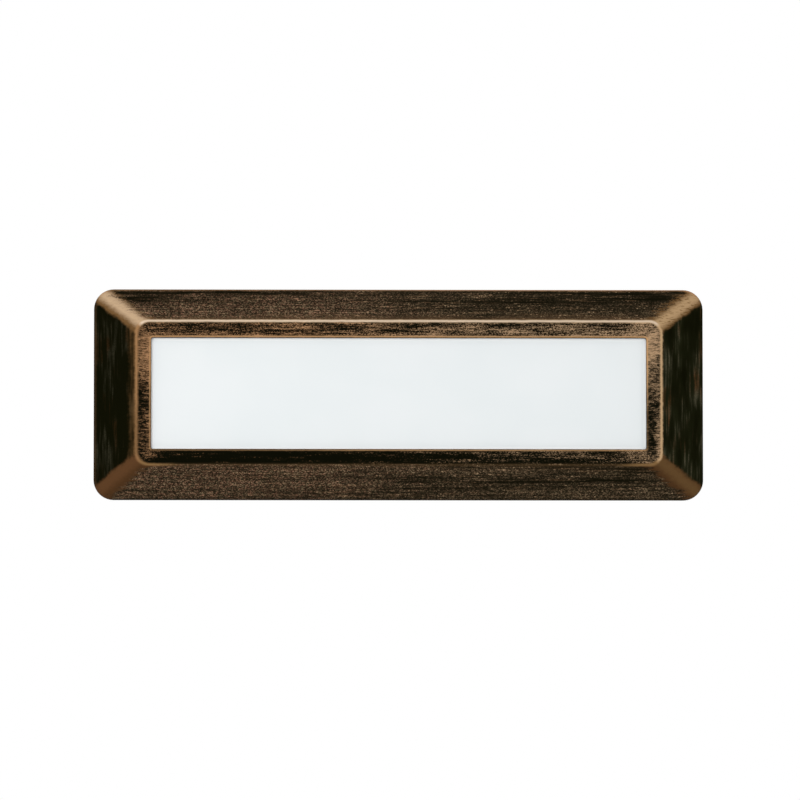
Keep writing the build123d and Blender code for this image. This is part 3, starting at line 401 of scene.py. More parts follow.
@dataclass(frozen=True)
class CastPatina(Finish):
    """Black-brown patina on cast metal, rubbed back to gold on the ridge, the corners and the lip, with
    painted highlight on the upper ridge and corners and painted shade on the lower ones.
    """

    umber: Colour = (14, 12, 3)
    sand: Colour = (146, 126, 97)
    rose: Colour = (158, 116, 92)
    rust: Colour = (112, 84, 58)
    soot: Colour = (11, 11, 1)
    rain: Colour = (74, 70, 54)
    moss: Colour = (38, 40, 22)
    # Near-black of the bevels, also laid on the lip's inner face as painted shade
    pitch: Colour = (9, 9, 2)
    straw: Colour = (174, 131, 93)
    hay: Colour = (178, 146, 112)
    lip_gold: Colour = (188, 146, 101)
    bark: Colour = (104, 76, 45)
    cream: Colour = (187, 159, 127)
    gold: Colour = (174, 144, 106)
    # Darker copies of bark, rust and gold: painted shade on the lower corners' mitre bands, over thinner
    # rubbing; the dark bark also colours streaks on the end slopes
    dark_bark_and_painted_shade: Colour = (75, 50, 28)
    painted_shade_rust: Colour = (89, 60, 36)
    painted_shade_gold: Colour = (94, 69, 41)
    # The top ridge line is rubbed gold with a painted highlight; the bottom one is darker, partly painted
    # shade
    crest_top_gold_and_highlight: Colour = (197, 176, 152)
    crest_left: Colour = (138, 103, 68)
    crest_right: Colour = (174, 144, 108)
    crest_bottom: Colour = (128, 98, 62)
    grit_grain: Grain = Grain((0.42, 0.4, 0.27), 3.0)
    cast_grain: Grain = Grain.even(5.0, 5.0)
    ragged_grain: Grain = Grain((1.8, 1.8, 1.2), 11.0, 3.0)
    wander_grain: Grain = Grain((7.0, 7.0, 5.0), 13.0)
    drag_grain: Grain = Grain((6.0, 2.0, 0.6), 15.0, 1.0)
    band_grain: Grain = Grain((110.0, 3.0, 1.8), 21.0, 3.0)
    dash_grain: Grain = Grain((15.0, 0.9, 0.55), 23.0)
    cloud_grain: Grain = Grain((26.0, 7.0, 7.0), 25.0)
    rain_grain: Grain = Grain((0.8, 1.2, 12.0), 27.0, 4.0)
    veil_grain: Grain = Grain((5.0, 6.0, 20.0), 29.0)
    patch_grain: Grain = Grain((24.0, 3.0, 2.4), 31.0)
    stroke_grain: Grain = Grain((9.0, 0.6, 0.46), 33.0, 1.0)
    hatch_grain: Grain = Grain((1.9, 1.4, 0.42), 35.0)
    fleck_grain: Grain = Grain((2.6, 1.2, 0.5), 37.0)
    tint_grain: Grain = Grain((9.0, 9.0, 15.0), 39.0)
    blush_grain: Grain = Grain((0.9, 0.8, 0.5), 41.0)
    glint_grain: Grain = Grain((0.62, 0.6, 0.44), 43.0)
    turn_height: float = 14.0
    turn_length: float = 60.0
    ridge_step: Pair = (-0.2, 0.3)
    edge_line: Pair = (0.2, 0.9)
    lip_line: Pair = (-0.55, 0.65)
    # Where the painted shade on the lip's inner face comes in, in millimetres past the lip's edge
    lip_face_painted_shade: Pair = (-0.15, 0.15)
    long_crest: Pair = (-0.12, 1.1)
    # Width of the cream painted highlight along the top ridge's crest
    long_crest_highlight_core: Pair = (-0.12, 0.9)
    end_crest: Pair = (0.0, 1.35)
    band_outside: Pair = (-4.6, -2.9)
    band_inside: Pair = (5.4, 2.7)
    band_ridge: Pair = (0.9, -0.4)

    def paint(self, shade: Shade) -> None:
        """Lays dark patina, grain, streaks and the rubbed lines over one another, the rubbed lines with
        painted highlight above and painted shade below.

        Args:
            shade: The material.
        """
        at = self.places(shade)
        inside = at.ridge.smooth(*self.ridge_step)
        colour = shade.mix(inside, self.slopes(shade, at), self.bevels(shade, at))
        band = self.band(at)
        colour = shade.mix(band, colour, self.band_colour(shade, at))
        edge_line = (at.edge + at.ragged * 0.5).bump(*self.edge_line) * at.upper * at.end.rest()
        colour = shade.mix(edge_line * at.across(0.4, 0.8), colour, self.straw)
        lip_line = (at.lip + at.ragged * 0.3).bump(*self.lip_line)
        dulled = at.end * at.right * at.height.smooth(8.0, -12.0) * 0.75
        faint = at.upper.rest() * at.right.smooth(0.3, 0.0) * at.end.rest() * 0.45
        shown = lip_line * at.up(0.6, 0.9) * dulled.rest() * faint.rest()
        colour = shade.mix(shown, colour, self.lip_gold)
        # Painted shade: the lip's inner face goes near-black, for the shade of the recess between lip and
        # pane
        colour = shade.mix(at.lip.smooth(*self.lip_face_painted_shade) * 0.85, colour, self.pitch)
        crest = self.crest(at)
        colour = shade.mix(crest, colour, self.crest_colour(shade, at))
        rubbed = band.most(crest).most(lip_line)
        rough = rubbed * -0.18 + 0.62 + at.grit * 0.1
        relief = at.grit * 0.7 + shade.noise(self.cast_grain) * 0.3 - rubbed * 0.2
        shade.coat(colour, rough, rubbed * 0.4, relief, 0.05, Specular_IOR_Level=0.015)

    def places(self, shade: Shade) -> CastPlace:
        """Reads the casting's measures and makes the noise that its layers share.

        Args:
            shade: The material.

        Returns:
            The measures and the noise.
        """
        x, _, z = shade.axes()
        ridge, lip, edge = shade.measured("reach_mm")
        mitre, end, _ = shade.measured("corner_mm")
        return CastPlace(
            ridge=ridge,
            lip=lip,
            edge=edge,
            mitre=mitre,
            end=end,
            height=z,
            upper=z.smooth(-self.turn_height, self.turn_height),
            right=x.smooth(-self.turn_length, self.turn_length),
            grit=shade.grains(self.grit_grain),
            ragged=shade.swing(self.ragged_grain),
            wander=shade.swing(self.wander_grain),
            drag=shade.swing(self.drag_grain),
        )

    def slopes(self, shade: Shade, at: CastPlace) -> Signal:
        """Colours the outer slopes, along the frame and at its ends."""
        return shade.mix(at.end, self.long_slopes(shade, at), self.end_slopes(shade, at))

    def long_slopes(self, shade: Shade, at: CastPlace) -> Signal:
        """Colours the slopes above and below the window, worn in bands, dashes and specks.

        Args:
            shade: The material.
            at: Where the point lies.

        Returns:
            The slopes' colour.
        """
        bands = shade.swing(self.band_grain)
        dashes = shade.swing(self.dash_grain)
        clouds = shade.swing(self.cloud_grain)
        near = at.ridge.smooth(-18.0, -1.0)
        worn = bands * at.across(1.5, 2.7) + dashes * at.across(1.4, 2.0) + clouds * 0.6
        worn = worn + at.upper * (near * 0.68 - 0.37) + 0.66
        faded = worn * (at.right * at.up(-0.46, -0.66) + 1.0)
        specks = shade.math("POWER", at.grit, 3.4) + 0.055
        glints = (shade.grains(self.glint_grain) + dashes * 0.6).smooth(0.94, 1.05) * 0.8
        blush = shade.grains(self.blush_grain) * at.across(1.0, 0.4)
        wear = specks * faded + glints * worn
        colour = shade.mix(wear, self.umber, shade.mix(blush, self.sand, self.rose))
        drawn = (dashes + at.drag * 0.5).smooth(0.06, 0.3) * (at.grit * 0.26 + 0.16)
        colour = shade.mix(drawn, colour, self.rust)
        warm = (at.ridge + clouds * 6.0).smooth(-4.5, -0.5) * at.up(0.05, 0.3)
        colour = shade.mix(warm, colour, self.rust)
        # Darker within 2 mm of the outer edge on the lower side
        lower_edge_darkening = (at.edge + at.ragged).smooth(2.0, 0.2) * at.upper.rest() * 0.5
        return shade.mix(lower_edge_darkening, colour, self.soot)

    def end_slopes(self, shade: Shade, at: CastPlace) -> Signal:
        """Colours the slopes at the ends, darker and streaked by rain.

        Args:
            shade: The material.
            at: Where the point lies.

        Returns:
            The slopes' colour.
        """
        rain = shade.noise(self.rain_grain)
        veil = shade.noise(self.veil_grain)
        tint = shade.noise(self.tint_grain).smooth(0.38, 0.55)
        colour = shade.mix(veil.smooth(0.25, 0.75) * at.right * 0.5, self.soot, self.moss)
        lines = (rain + veil).smooth(0.98, 1.42) * at.across(0.4, 1.15) * (at.grit * 0.9 + 0.5)
        colour = shade.mix(lines, colour, shade.mix(tint, self.dark_bark_and_painted_shade, self.rain))
        feather = (at.ridge + at.ragged * 3.0 + veil * 4.0 - 2.0).smooth(-5.0, -0.6) * at.right.rest()
        colour = shade.mix(feather * (rain * 1.5 - 0.4), colour, self.bark)
        scuffed = (at.edge + at.ragged * 0.8).bump(0.5, 1.3) * at.right.rest() * 0.18
        return shade.mix(scuffed, colour, self.rust)

    def bevels(self, shade: Shade, at: CastPlace) -> Signal:
        """Colours the inner bevels, between the ridge and the lip.

        Args:
            shade: The material.
            at: Where the point lies.

        Returns:
            The bevels' colour.
        """
        strokes = shade.swing(self.stroke_grain)
        patches = shade.swing(self.patch_grain)
        speckle = (at.grit - 0.5) * 0.75
        to_lip = at.lip.smooth(-6.5, -0.5)
        to_ridge = (at.ridge + at.ragged * 2.5).smooth(4.2, 0.6)
        corner = abs(at.mitre).smooth(14.0, 2.0)
        lift = at.upper * at.across(0.57, 0.21) + at.right * 0.34 - 0.44
        broad = strokes * 1.3 + patches * 1.1
        along = broad * at.up(0.75, 1.0) + speckle + to_lip * 0.1 + lift
        along = along + corner * at.across(0.04, 0.28)
        along = along + abs(at.mitre).smooth(7.0, 1.0) * at.right.rest() * at.upper.rest() * 0.45
        hatch = (shade.grains(self.hatch_grain) - 0.5) * 0.58
        left = at.height.smooth(2.5, 11.0) * 0.34 - at.height.bump(-4.0, 7.5) * 0.18
        left = left + to_lip * 0.24 - 0.17
        right = at.height.smooth(-12.0, 5.0) * 0.32 + at.height.smooth(11.0, 17.0) * 0.4
        right = right + to_ridge * at.height.smooth(-4.0, -14.0) * 0.45
        right = right + (to_lip - 0.5) * at.height.smooth(4.0, 14.0) * 0.3 - 0.27
        across = hatch + speckle * 0.5 + patches * 0.4 + left * at.right.rest() + right * at.right
        marks = shade.mix(at.end, along.smooth(0.0, 0.9), across.smooth(-0.25, 0.85))
        return shade.mix(marks, self.pitch, shade.mix(at.right, self.straw, self.hay))

    def band(self, at: CastPlace) -> Signal:
        """Gives the share of the rubbed band along each corner's mitre.

        Args:
            at: Where the point lies.

        Returns:
            The share.
        """
        outer = at.mitre + at.ragged * 1.6 + at.wander * 3.0
        fray = at.drag * 7.0 + at.ragged * 1.5 + at.wander * 2.0
        inner = at.mitre + fray + (at.grit - 0.5) * at.upper * 2.5
        width = outer.smooth(*self.band_outside) * inner.smooth(*self.band_inside)
        return width * at.ridge.smooth(*self.band_ridge)

    def band_colour(self, shade: Shade, at: CastPlace) -> Signal:
        """Colours the rubbed band: pale along its middle, which lies elsewhere at each corner, lighter on
        the upper corners with painted highlight and darker on the lower ones with painted shade.

        Args:
            shade: The material.
            at: Where the point lies.

        Returns:
            The band's colour.
        """
        middle = at.mitre + at.right * 1.2 + at.ragged * 1.5
        bright = middle.smooth(-3.0, 0.7) * middle.smooth(5.6, 1.6)
        dim = abs(at.mitre - at.right * 0.7 + 1.3 + at.ragged * 2.5).smooth(4.4, 0.4)
        # Painted highlight and shade: the pale middle is strong on the upper corners and dim on the lower
        # ones
        core = bright * at.upper + dim * at.upper.rest()
        flecks = shade.noise(self.fleck_grain).smooth(0.5, 0.7) * at.across(0.15, 0.65) * at.upper
        # The lower corners take darker copies of the gold: painted shade over thinner rubbing
        low = shade.mix(at.right, self.painted_shade_rust, self.painted_shade_gold)
        pale = shade.mix(at.upper, low, shade.mix(at.right, self.cream, self.gold))
        # The band's dull edge is also darker on the lower corners: painted shade
        dull = shade.mix(at.upper, self.dark_bark_and_painted_shade, self.bark)
        return shade.mix(core - flecks, dull, pale)

    def crest(self, at: CastPlace) -> Signal:
        """Gives the share of the rubbed line along the ridge: strong along the top, where it is partly a
        painted highlight, and faint along the bottom.

        Args:
            at: Where the point lies.

        Returns:
            The share.
        """
        corner = abs(at.mitre).smooth(15.0, 5.0)
        thin = (at.ridge + at.ragged * 0.35 + at.wander * 0.5).bump(*self.long_crest)
        # The line is strong along the top and faint along the bottom: rubbing, and painted highlight from
        # above
        thin = thin * at.up(0.1, 0.98).most(corner * 0.8)
        off_line = at.ridge + at.ragged * 0.9 + at.right * 0.15
        wide = (off_line * at.across(1.0, 1.35)).bump(*self.end_crest)
        wide = wide * (at.right.rest() * at.height.smooth(2.0, -14.0) * -0.3 + 1.0)
        return thin * at.end.rest() + wide * at.end

    def crest_colour(self, shade: Shade, at: CastPlace) -> Signal:
        """Colours the ridge's rubbed line, with a cream painted highlight along the top and a darker
        gold, partly painted shade, along the bottom.

        Args:
            shade: The material.
            at: Where the point lies.

        Returns:
            The line's colour.
        """
        # Painted highlight: a cream core along the top ridge's crest
        core = at.ridge.bump(*self.long_crest_highlight_core).smooth(0.1, 0.6)
        long_side = shade.mix(at.upper, self.crest_bottom, shade.mix(core, self.gold, self.crest_top_gold_and_highlight))
        end_side = shade.mix(at.right, self.crest_left, self.crest_right)
        return shade.mix(at.end, long_side, end_side)


@dataclass(frozen=True)
class OpalPane(Finish):
    """Milky pane with a satin face, lighter along the lip: a painted light border that offsets the lip's
    shade on it.
    """

    milk: Colour = (226, 230, 231)
    cloud: Colour = (223, 228, 229)
    # Lighter colour of the border along the lip: painted light against the lip's shade
    painted_light_border: Colour = (248, 250, 250)
    painted_light_border_width: float = 1.7
    half: Pair = (105.4, 23.7)
    cloud_grain: Grain = Grain((38.0, 38.0, 30.0), 2.0)
    skin_grain: Grain = Grain.even(0.5, 4.0)

    def paint(self, shade: Shade) -> None:
        """Adds faint clouds, the painted light border along the lip and a satin skin.

        Args:
            shade: The material.
        """
        x, _, z = shade.axes()
        side = abs(x).smooth(self.half[0] - self.painted_light_border_width, self.half[0])
        level = abs(z).smooth(self.half[1] - self.painted_light_border_width, self.half[1])
        clouds = shade.noise(self.cloud_grain)
        skin = shade.noise(self.skin_grain)
        colour = shade.mix(clouds.smooth(0.3, 0.7), self.milk, self.cloud)
        # Painted light: the pane is lighter near the window's edges, offsetting the shade that the lip
        # casts there
        colour = shade.mix(side.most(level), colour, self.painted_light_border)
        shade.coat(colour, skin * 0.08 + 0.3, relief=skin, depth=0.004, Specular_IOR_Level=0.3)


@dataclass(frozen=True)
class ClosedFoam(Finish):
    """Closed-cell foam with open pits on its cut faces."""

    base: Colour = (46, 46, 48)
    pit_painted_shade: Colour = (14, 14, 15)
    dust: Colour = (66, 66, 67)
    cell: Grain = Grain.even(0.7)
    dust_grain: Grain = Grain.even(8.0, 1.0)

    def paint(self, shade: Shade) -> None:
        """Pits the faces with cells of uneven depth and darkens each pit's middle with painted shade.

        Args:
            shade: The material.
        """
        pits = shade.cells(self.cell).smooth(0.15, 0.6)
        tone = shade.noise(self.dust_grain)
        # Painted shade: each pit is darkened towards its middle
        colour = shade.mix(pits * 0.8, self.pit_painted_shade, self.base)
        colour = shade.mix(tone.smooth(0.4, 0.8) * 0.3, colour, self.dust)
        shade.coat(colour, pits * -0.1 + 0.95, relief=pits, depth=0.15, Specular_IOR_Level=0.2)


@dataclass(frozen=True)
class MouldedRubber(Finish):
    """Matt rubber with a pale bloom."""

    base: Colour = (26, 26, 27)
    bloom: Colour = (62, 61, 59)
    bloom_grain: Grain = Grain.even(5.0, 1.0, 4.0)
    skin_grain: Grain = Grain.even(0.35, 2.0)

    def paint(self, shade: Shade) -> None:
        """Adds bloom in clouds and a fine skin.

        Args:
            shade: The material.
        """
        cloud = shade.noise(self.bloom_grain)
        skin = shade.noise(self.skin_grain)
        colour = shade.mix(cloud.smooth(0.5, 0.8) * 0.5, self.base, self.bloom)
        shade.coat(colour, skin * 0.2 + 0.65, relief=skin, depth=0.03, Specular_IOR_Level=0.25)


@dataclass(frozen=True)
class Enamel(Finish):
    """Thick white stove enamel with a slight orange peel."""

    base: Colour = (236, 236, 232)
    shadow: Colour = (222, 221, 214)
    dust: Colour = (150, 146, 138)
    peel_grain: Grain = Grain.even(1.6, 1.0, 1.0)
    thick_grain: Grain = Grain.even(25.0, 2.0)
    dust_grain: Grain = Grain.even(0.4, 3.0)

    def paint(self, shade: Shade) -> None:
        """Adds orange peel, uneven thickness and dust.

        Args:
            shade: The material.
        """
        peel = shade.noise(self.peel_grain)
        thick = shade.noise(self.thick_grain)
        dust = shade.noise(self.dust_grain).smooth(0.68, 0.8)
        colour = shade.mix(thick.smooth(0.4, 0.75), self.base, self.shadow)
        colour = shade.mix(dust * 0.15, colour, self.dust)
        shade.coat(colour, peel * 0.12 + 0.28, relief=peel, depth=0.03, Specular_IOR_Level=0.4)


@dataclass(frozen=True)
class WorkedMetal(Finish):
    """Bare or plated metal with drawn lines, stains and, where it is plated, spangles."""

    base: Colour = (176, 178, 181)
    stain: Colour = (136, 134, 130)
    lines: Triple = (0.2, 6.0, 0.2)
    spangle: float = 0.0
    rough: float = 0.32
    flake: Colour = (206, 208, 214)
    stain_grain: Grain = Grain.even(3.5, 2.0, 4.0)

    def paint(self, shade: Shade) -> None:
        """Draws the lines, then the stains and spangles.

        Args:
            shade: The material.
        """
        drawn = shade.noise(Grain(self.lines, seed=1.0, detail=3.0))
        cloud = shade.noise(self.stain_grain)
        colour = shade.mix(cloud.smooth(0.45, 0.75) * 0.7, self.base, self.stain)
        if self.spangle:
            flakes = shade.cells(Grain.even(self.spangle, seed=3.0)).smooth(0.1, 0.8)
            colour = shade.mix(flakes * 0.3, colour, self.flake)
        colour = shade.mix(drawn.smooth(0.45, 0.75) * 0.35, colour, self.stain)
        rough = drawn * 0.18 + cloud * 0.12 + (self.rough - 0.15)
        shade.coat(colour, rough, 1.0, drawn, 0.01)


@dataclass(frozen=True)
class MouldedPlastic(Finish):
    """Moulded plastic with a spark-eroded texture, faint flow clouds and scuffs."""

    base: Colour = (60, 60, 63)
    cloud: Colour = (72, 72, 75)
    scuff: Colour = (112, 112, 113)
    texture: float = 0.5
    rough: float = 0.5
    depth: float = 0.03
    flow_grain: Grain = Grain((16.0, 24.0, 16.0), 1.0, 3.0)
    rub_grain: Grain = Grain((7.0, 1.6, 1.2), 5.0, 3.0)

    def paint(self, shade: Shade) -> None:
        """Adds flow clouds, grain and short scuffs.

        Args:
            shade: The material.
        """
        flow = shade.noise(self.flow_grain)
        grain = shade.noise(Grain.even(self.texture, seed=2.0))
        rubs = shade.noise(self.rub_grain).smooth(0.66, 0.8)
        colour = shade.mix(flow.smooth(0.35, 0.7), self.base, self.cloud)
        colour = shade.mix(grain.smooth(0.55, 0.8) * 0.3, colour, self.scuff)
        colour = shade.mix(rubs * 0.35, colour, self.scuff)
        rough = grain * 0.15 + rubs * 0.12 + (self.rough - 0.08)
        shade.coat(colour, rough, relief=grain, depth=self.depth, Specular_IOR_Level=0.3)


@dataclass(frozen=True)
class WireSheath(Finish):
    """Soft sheath of a wire, with the fine lines that its die leaves and an optional second colour."""

    base: Colour = (170, 30, 24)
    second: Colour | None = None
    middle: float = 0.0
    seam: float = 0.08
    grime: Colour = (96, 92, 88)
    grime_grain: Grain = Grain.even(2.2, 1.0, 3.0)
    line_grain: Grain = Grain((4.0, 0.25, 0.25), 2.0)

    def paint(self, shade: Shade) -> None:
        """Adds die lines, handling marks and the second colour's side.

        Args:
            shade: The material.
        """
        _, _, z = shade.axes()
        marks = shade.noise(self.grime_grain)
        lines = shade.noise(self.line_grain)
        colour: Operand = self.base
        if self.second is not None:
            upper = (z - self.middle).smooth(-self.seam, self.seam)
            colour = shade.mix(upper, self.base, self.second)
        colour = shade.mix(marks.smooth(0.55, 0.8) * 0.25, colour, self.grime)
        shade.coat(colour, lines * 0.15 + 0.32, relief=lines, depth=0.02, Specular_IOR_Level=0.4)


@dataclass(frozen=True)
class PrintedBoard(Finish):
    """Circuit board: solder mask over copper tracks, with tinned pads."""

    mask: Colour = (232, 234, 230)
    track: Colour = (214, 214, 204)
    tin: Colour = (190, 190, 186)
    edge: Colour = (196, 178, 120)
    haze: Colour = (90, 88, 70)
    track_pitch: float = 6.0
    track_width: float = 1.6
    track_wander: float = 3.0
    pad_pitch: float = 7.5
    pad_rim: Pair = (0.9, 0.7)
    blur: float = 0.1
    front: float = 24.3
    back: float = 25.9
    wander_grain: Grain = Grain.even(9.0, 1.0, 0.0)
    break_grain: Grain = Grain((14.0, 50.0, 3.0), 2.0, 0.0)
    weave_grain: Grain = Grain.even(0.5, 3.0)

    def paint(self, shade: Shade) -> None:
        """Draws tracks along the board, pads on them and the bare edge.

        Args:
            shade: The material.
        """
        x, y, z = shade.axes()
        wander = shade.swing(self.wander_grain)
        across = (z + wander * self.track_wander).from_nearest(self.track_pitch)
        breaks = shade.noise(self.break_grain).smooth(0.42, 0.46)
        half_track = self.track_width / 2
        tracks = across.smooth(half_track + self.blur, half_track - self.blur) * breaks
        rows = x.from_nearest(self.pad_pitch).smooth(*self.pad_rim)
        pads = across.smooth(*self.pad_rim) * rows * breaks
        weave = shade.noise(self.weave_grain)
        face = (y - (self.front + self.back) / 2).bump(0.0, (self.back - self.front) / 2 - 0.05)
        colour = shade.mix(tracks * 0.7, self.mask, self.track)
        colour = shade.mix(pads, colour, self.tin)
        colour = shade.mix(face.smooth(0.0, 0.05), colour, self.edge)
        colour = shade.mix(weave.smooth(0.5, 0.8) * 0.12, colour, self.haze)
        relief = tracks * 0.7 + weave * 0.1
        shade.coat(colour, weave * 0.1 + 0.36, pads * 0.8, relief, 0.04, Specular_IOR_Level=0.4)


@dataclass(frozen=True)
class LightChip(Finish):
    """White ceramic light chip with a round-cornered window of yellow phosphor."""

    pitch: float = 13.978
    row: float = 5.0
    window: Pair = (2.5, 1.9)
    face: float = 23.55
    blur: float = 0.1
    body: Colour = (238, 236, 228)
    phosphor: Colour = (232, 190, 46)
    speck: Colour = (206, 150, 30)
    speck_grain: Grain = Grain.even(0.25, 1.0)

    def paint(self, shade: Shade) -> None:
        """Sets a window of phosphor in the front of each chip.

        Args:
            shade: The material.
        """
        x, y, z = shade.axes()
        along = abs((x + self.pitch / 2).from_nearest(self.pitch))
        across = abs(abs(z) - self.row)
        width, height = (size / 2 for size in self.window)
        inside = along.smooth(width + self.blur, width - self.blur)
        inside = inside * across.smooth(height + self.blur, height - self.blur)
        inside = inside * y.smooth(self.face + 0.05, self.face)
        grain = shade.noise(self.speck_grain)
        colour = shade.mix(grain.smooth(0.4, 0.8) * 0.2, self.phosphor, self.speck)
        colour = shade.mix(inside, self.body, colour)
        shade.coat(colour, grain * 0.2 + 0.3, relief=grain, depth=0.01, Specular_IOR_Level=0.4)


@dataclass(frozen=True)
class TapedWinding(Finish):
    """Transformer: dark ferrite core round a winding in yellow tape."""

    middle: float = 0.0
    core: float = 11.0
    lap: float = 2.6
    blur: float = 0.02
    tape: Colour = (196, 158, 44)
    seam: Colour = (128, 98, 22)
    ferrite: Colour = (52, 50, 50)
    fired: Colour = (88, 86, 84)
    lap_grain: Grain = Grain.even(6.0, 1.0)
    core_grain: Grain = Grain.even(0.4, 2.0)

    def paint(self, shade: Shade) -> None:
        """Laps the tape and gives the core its fired grain.

        Args:
            shade: The material.
        """
        x, y, _ = shade.axes()
        laps = (y + shade.noise(self.lap_grain) * 0.8).from_nearest(self.lap).smooth(0.0, 0.25)
        grain = shade.noise(self.core_grain)
        tape = shade.mix(laps * 0.6, self.seam, self.tape)
        core = shade.mix(grain.smooth(0.4, 0.8) * 0.6, self.ferrite, self.fired)
        inside = abs(x - self.middle).smooth(self.core / 2 + self.blur, self.core / 2 - self.blur)
        colour = shade.mix(inside, tape, core)
        relief = laps * 0.5 + grain * 0.3
        shade.coat(colour, inside * 0.3 + 0.38, relief=relief, depth=0.05, Specular_IOR_Level=0.35)


@dataclass(frozen=True)
class SleevedCan(Finish):
    """Capacitor: printed sleeve over a can, with a bare scored end."""

    end: float = 0.0
    sleeve: Colour = (28, 30, 44)
    stripe: Colour = (158, 160, 164)
    rubbed: Colour = (92, 94, 104)
    can: Colour = (196, 198, 200)
    stripe_edge: Pair = (2.6, 2.8)
    rub_grain: Grain = Grain((0.9, 0.9, 3.0), 1.0, 3.0)

    def paint(self, shade: Shade) -> None:
        """Puts a polarity stripe on one side and bare metal on the end.

        Args:
            shade: The material.
        """
        _, y, z = shade.axes()
        rub = shade.noise(self.rub_grain)
        side = z.smooth(*self.stripe_edge)
        top = y.smooth(self.end - 0.12, self.end - 0.04)
        colour = shade.mix(side * 0.85, self.sleeve, self.stripe)
        colour = shade.mix(rub.smooth(0.6, 0.8) * 0.3, colour, self.rubbed)
        colour = shade.mix(top, colour, self.can)
        shade.coat(colour, rub * 0.2 + 0.22, top, rub, 0.02, Specular_IOR_Level=0.4)


@dataclass(frozen=True)
class SiliconeSheet(Finish):
    """Heat pad: filled silicone with a woven backing that prints through."""

    base: Colour = (172, 180, 192)
    speck: Colour = (214, 218, 224)
    thread: Colour = (132, 142, 156)
    thread_pitch: float = 0.9
    speck_grain: Grain = Grain.even(0.4, 1.0)

    def paint(self, shade: Shade) -> None:
        """Adds filler specks and the backing's weave.

        Args:
            shade: The material.
        """
        x, _, z = shade.axes()
        warp = x.from_nearest(self.thread_pitch) + z.from_nearest(self.thread_pitch)
        specks = shade.noise(self.speck_grain).smooth(0.58, 0.75)
        colour = shade.mix(specks * 0.6, self.base, self.speck)
        colour = shade.mix(warp.smooth(0.6, 0.9) * 0.25, colour, self.thread)
        shade.coat(colour, specks * 0.1 + 0.7, relief=warp, depth=0.03, Specular_IOR_Level=0.3)


def put_on(finish: Finish, slot: str, *nodes: str) -> None:
    """Gives CAD nodes a finish.

    Args:
        finish: The finish.
        slot: The record's slot, which names the material.
        nodes: The nodes that wear it.
    """
    material = finish.material(slot)
    for name in nodes:
        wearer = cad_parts[name]
        if not wearer.material_slots:
            wearer.data.materials.append(material)
        for place in wearer.material_slots:
            place.material = material
        LOG.info("dressed %s in %s", name, slot)


def piece(name: str, points: list[Vector], faces: list[Face], crease: float) -> bpy.types.Object:
    """Makes a mesh piece from points in millimetres.

    Args:
        name: Name of the piece.
        points: Its points.
        faces: Its faces, as point numbers.
        crease: Angle in degrees above which an edge stays sharp.

    Returns:
        The new object.
    """
    mesh = bpy.data.meshes.new(name)
    mesh.from_pydata([point * MM for point in points], [], faces)
    mesh.shade_smooth()
    mesh.set_sharp_from_angle(angle=math.radians(crease))
    made = bpy.data.objects.new(name, mesh)
    bpy.context.scene.collection.objects.link(made)
    return made


def circle(centre: Vector, across: Vector, upright: Vector, radius: float, sides: int) -> list[Vector]:
    """Lists the points of a circle.

    Args:
        centre: Its centre.
        across: Way from the centre to the first point.
        upright: Way from the centre to the point a quarter turn on.
        radius: Its radius.
        sides: How many points it has.

    Returns:
        The points.
    """
    angles = [FULL_TURN * side / sides for side in range(sides)]
    return [centre + (across * math.cos(turn) + upright * math.sin(turn)) * radius for turn in angles]


def add_tube(points: list[Vector], faces: list[Face], rings: list[list[Vector]]) -> None:
    """Adds a tube with closed ends to a piece.

    Args:
        points: The piece's points, which grow.
        faces: The piece's faces, which grow.
        rings: The tube's rings, all with as many points.
    """
    first, sides = len(points), len(rings[0])
    for number, ring in enumerate(rings):
        points += ring
        base = first + number * sides
        if number + 1 < len(rings):
            for side in range(sides):
                after = (side + 1) % sides
                faces.append((base + side, base + after, base + sides + after, base + sides + side))
    faces.append(tuple(reversed(range(first, first + sides))))
    faces.append(tuple(range(base, base + sides)))


@dataclass(frozen=True)
class Station:
    """One ring of the frame's section: how far it is drawn in, how deep it lies and its corner radius."""

    end_inset: float
    long_inset: float
    depth: float
    corner: float

    def towards(self, other: "Station", share: float) -> "Station":
        """Gives the station that far along the way to another."""
        pairs = zip(astuple(self), astuple(other))
        return Station(*[here + (there - here) * share for here, there in pairs])

    def step(self, other: "Station") -> Pair:
        """Measures the way to another station.

        Args:
            other: The other station.

        Returns:
            The way across a long side and across an end.
        """
        fall = other.depth - self.depth
        along = math.hypot(other.long_inset - self.long_inset, fall)
        return along, math.hypot(other.end_inset - self.end_inset, fall)

    def rounded(self, before: "Station", after: "Station", reach: float, steps: int) -> list["Station"]:
        """Rounds the section here.

        Args:
            before: The station before this one.
            after: The station after it.
            reach: How far the round reaches each way, in millimetres.
            steps: How many steps it has.

        Returns:
            The stations of the round.
        """
        first = self.towards(before, reach / max(self.step(before)))
        last = self.towards(after, reach / max(self.step(after)))
        made = []
        for number in range(steps + 1):
            share = number / steps
            made.append(first.towards(self, share).towards(self.towards(last, share), share))
        return made

    def between(self, other: "Station", steps: int) -> list["Station"]:
        """Lists the stations between this one and another, without these."""
        return [self.towards(other, number / steps) for number in range(1, steps)]


@dataclass(frozen=True)
class Column:
    """One line of points across the frame's section, by its corner centre and its way out from there."""

    centre: Pair
    out: Pair

    def point(self, half: Pair, station: Station) -> Vector:
        """Finds the column's point on a ring.

        Args:
            half: Half the frame's width and height.
            station: The ring.

        Returns:
            The point in millimetres.
        """
        reach_x = half[0] - station.end_inset - station.corner
        reach_z = half[1] - station.long_inset - station.corner
        x = self.centre[0] * reach_x + self.out[0] * station.corner
        z = self.centre[1] * reach_z + self.out[1] * station.corner
        return Vector((x, station.depth, z))

    def length(self, ways: Pair) -> float:
        """Gives a length that is known across a long side and across an end, for the way out here."""
        return ways[0] + (ways[1] - ways[0]) * self.out[0] ** 2


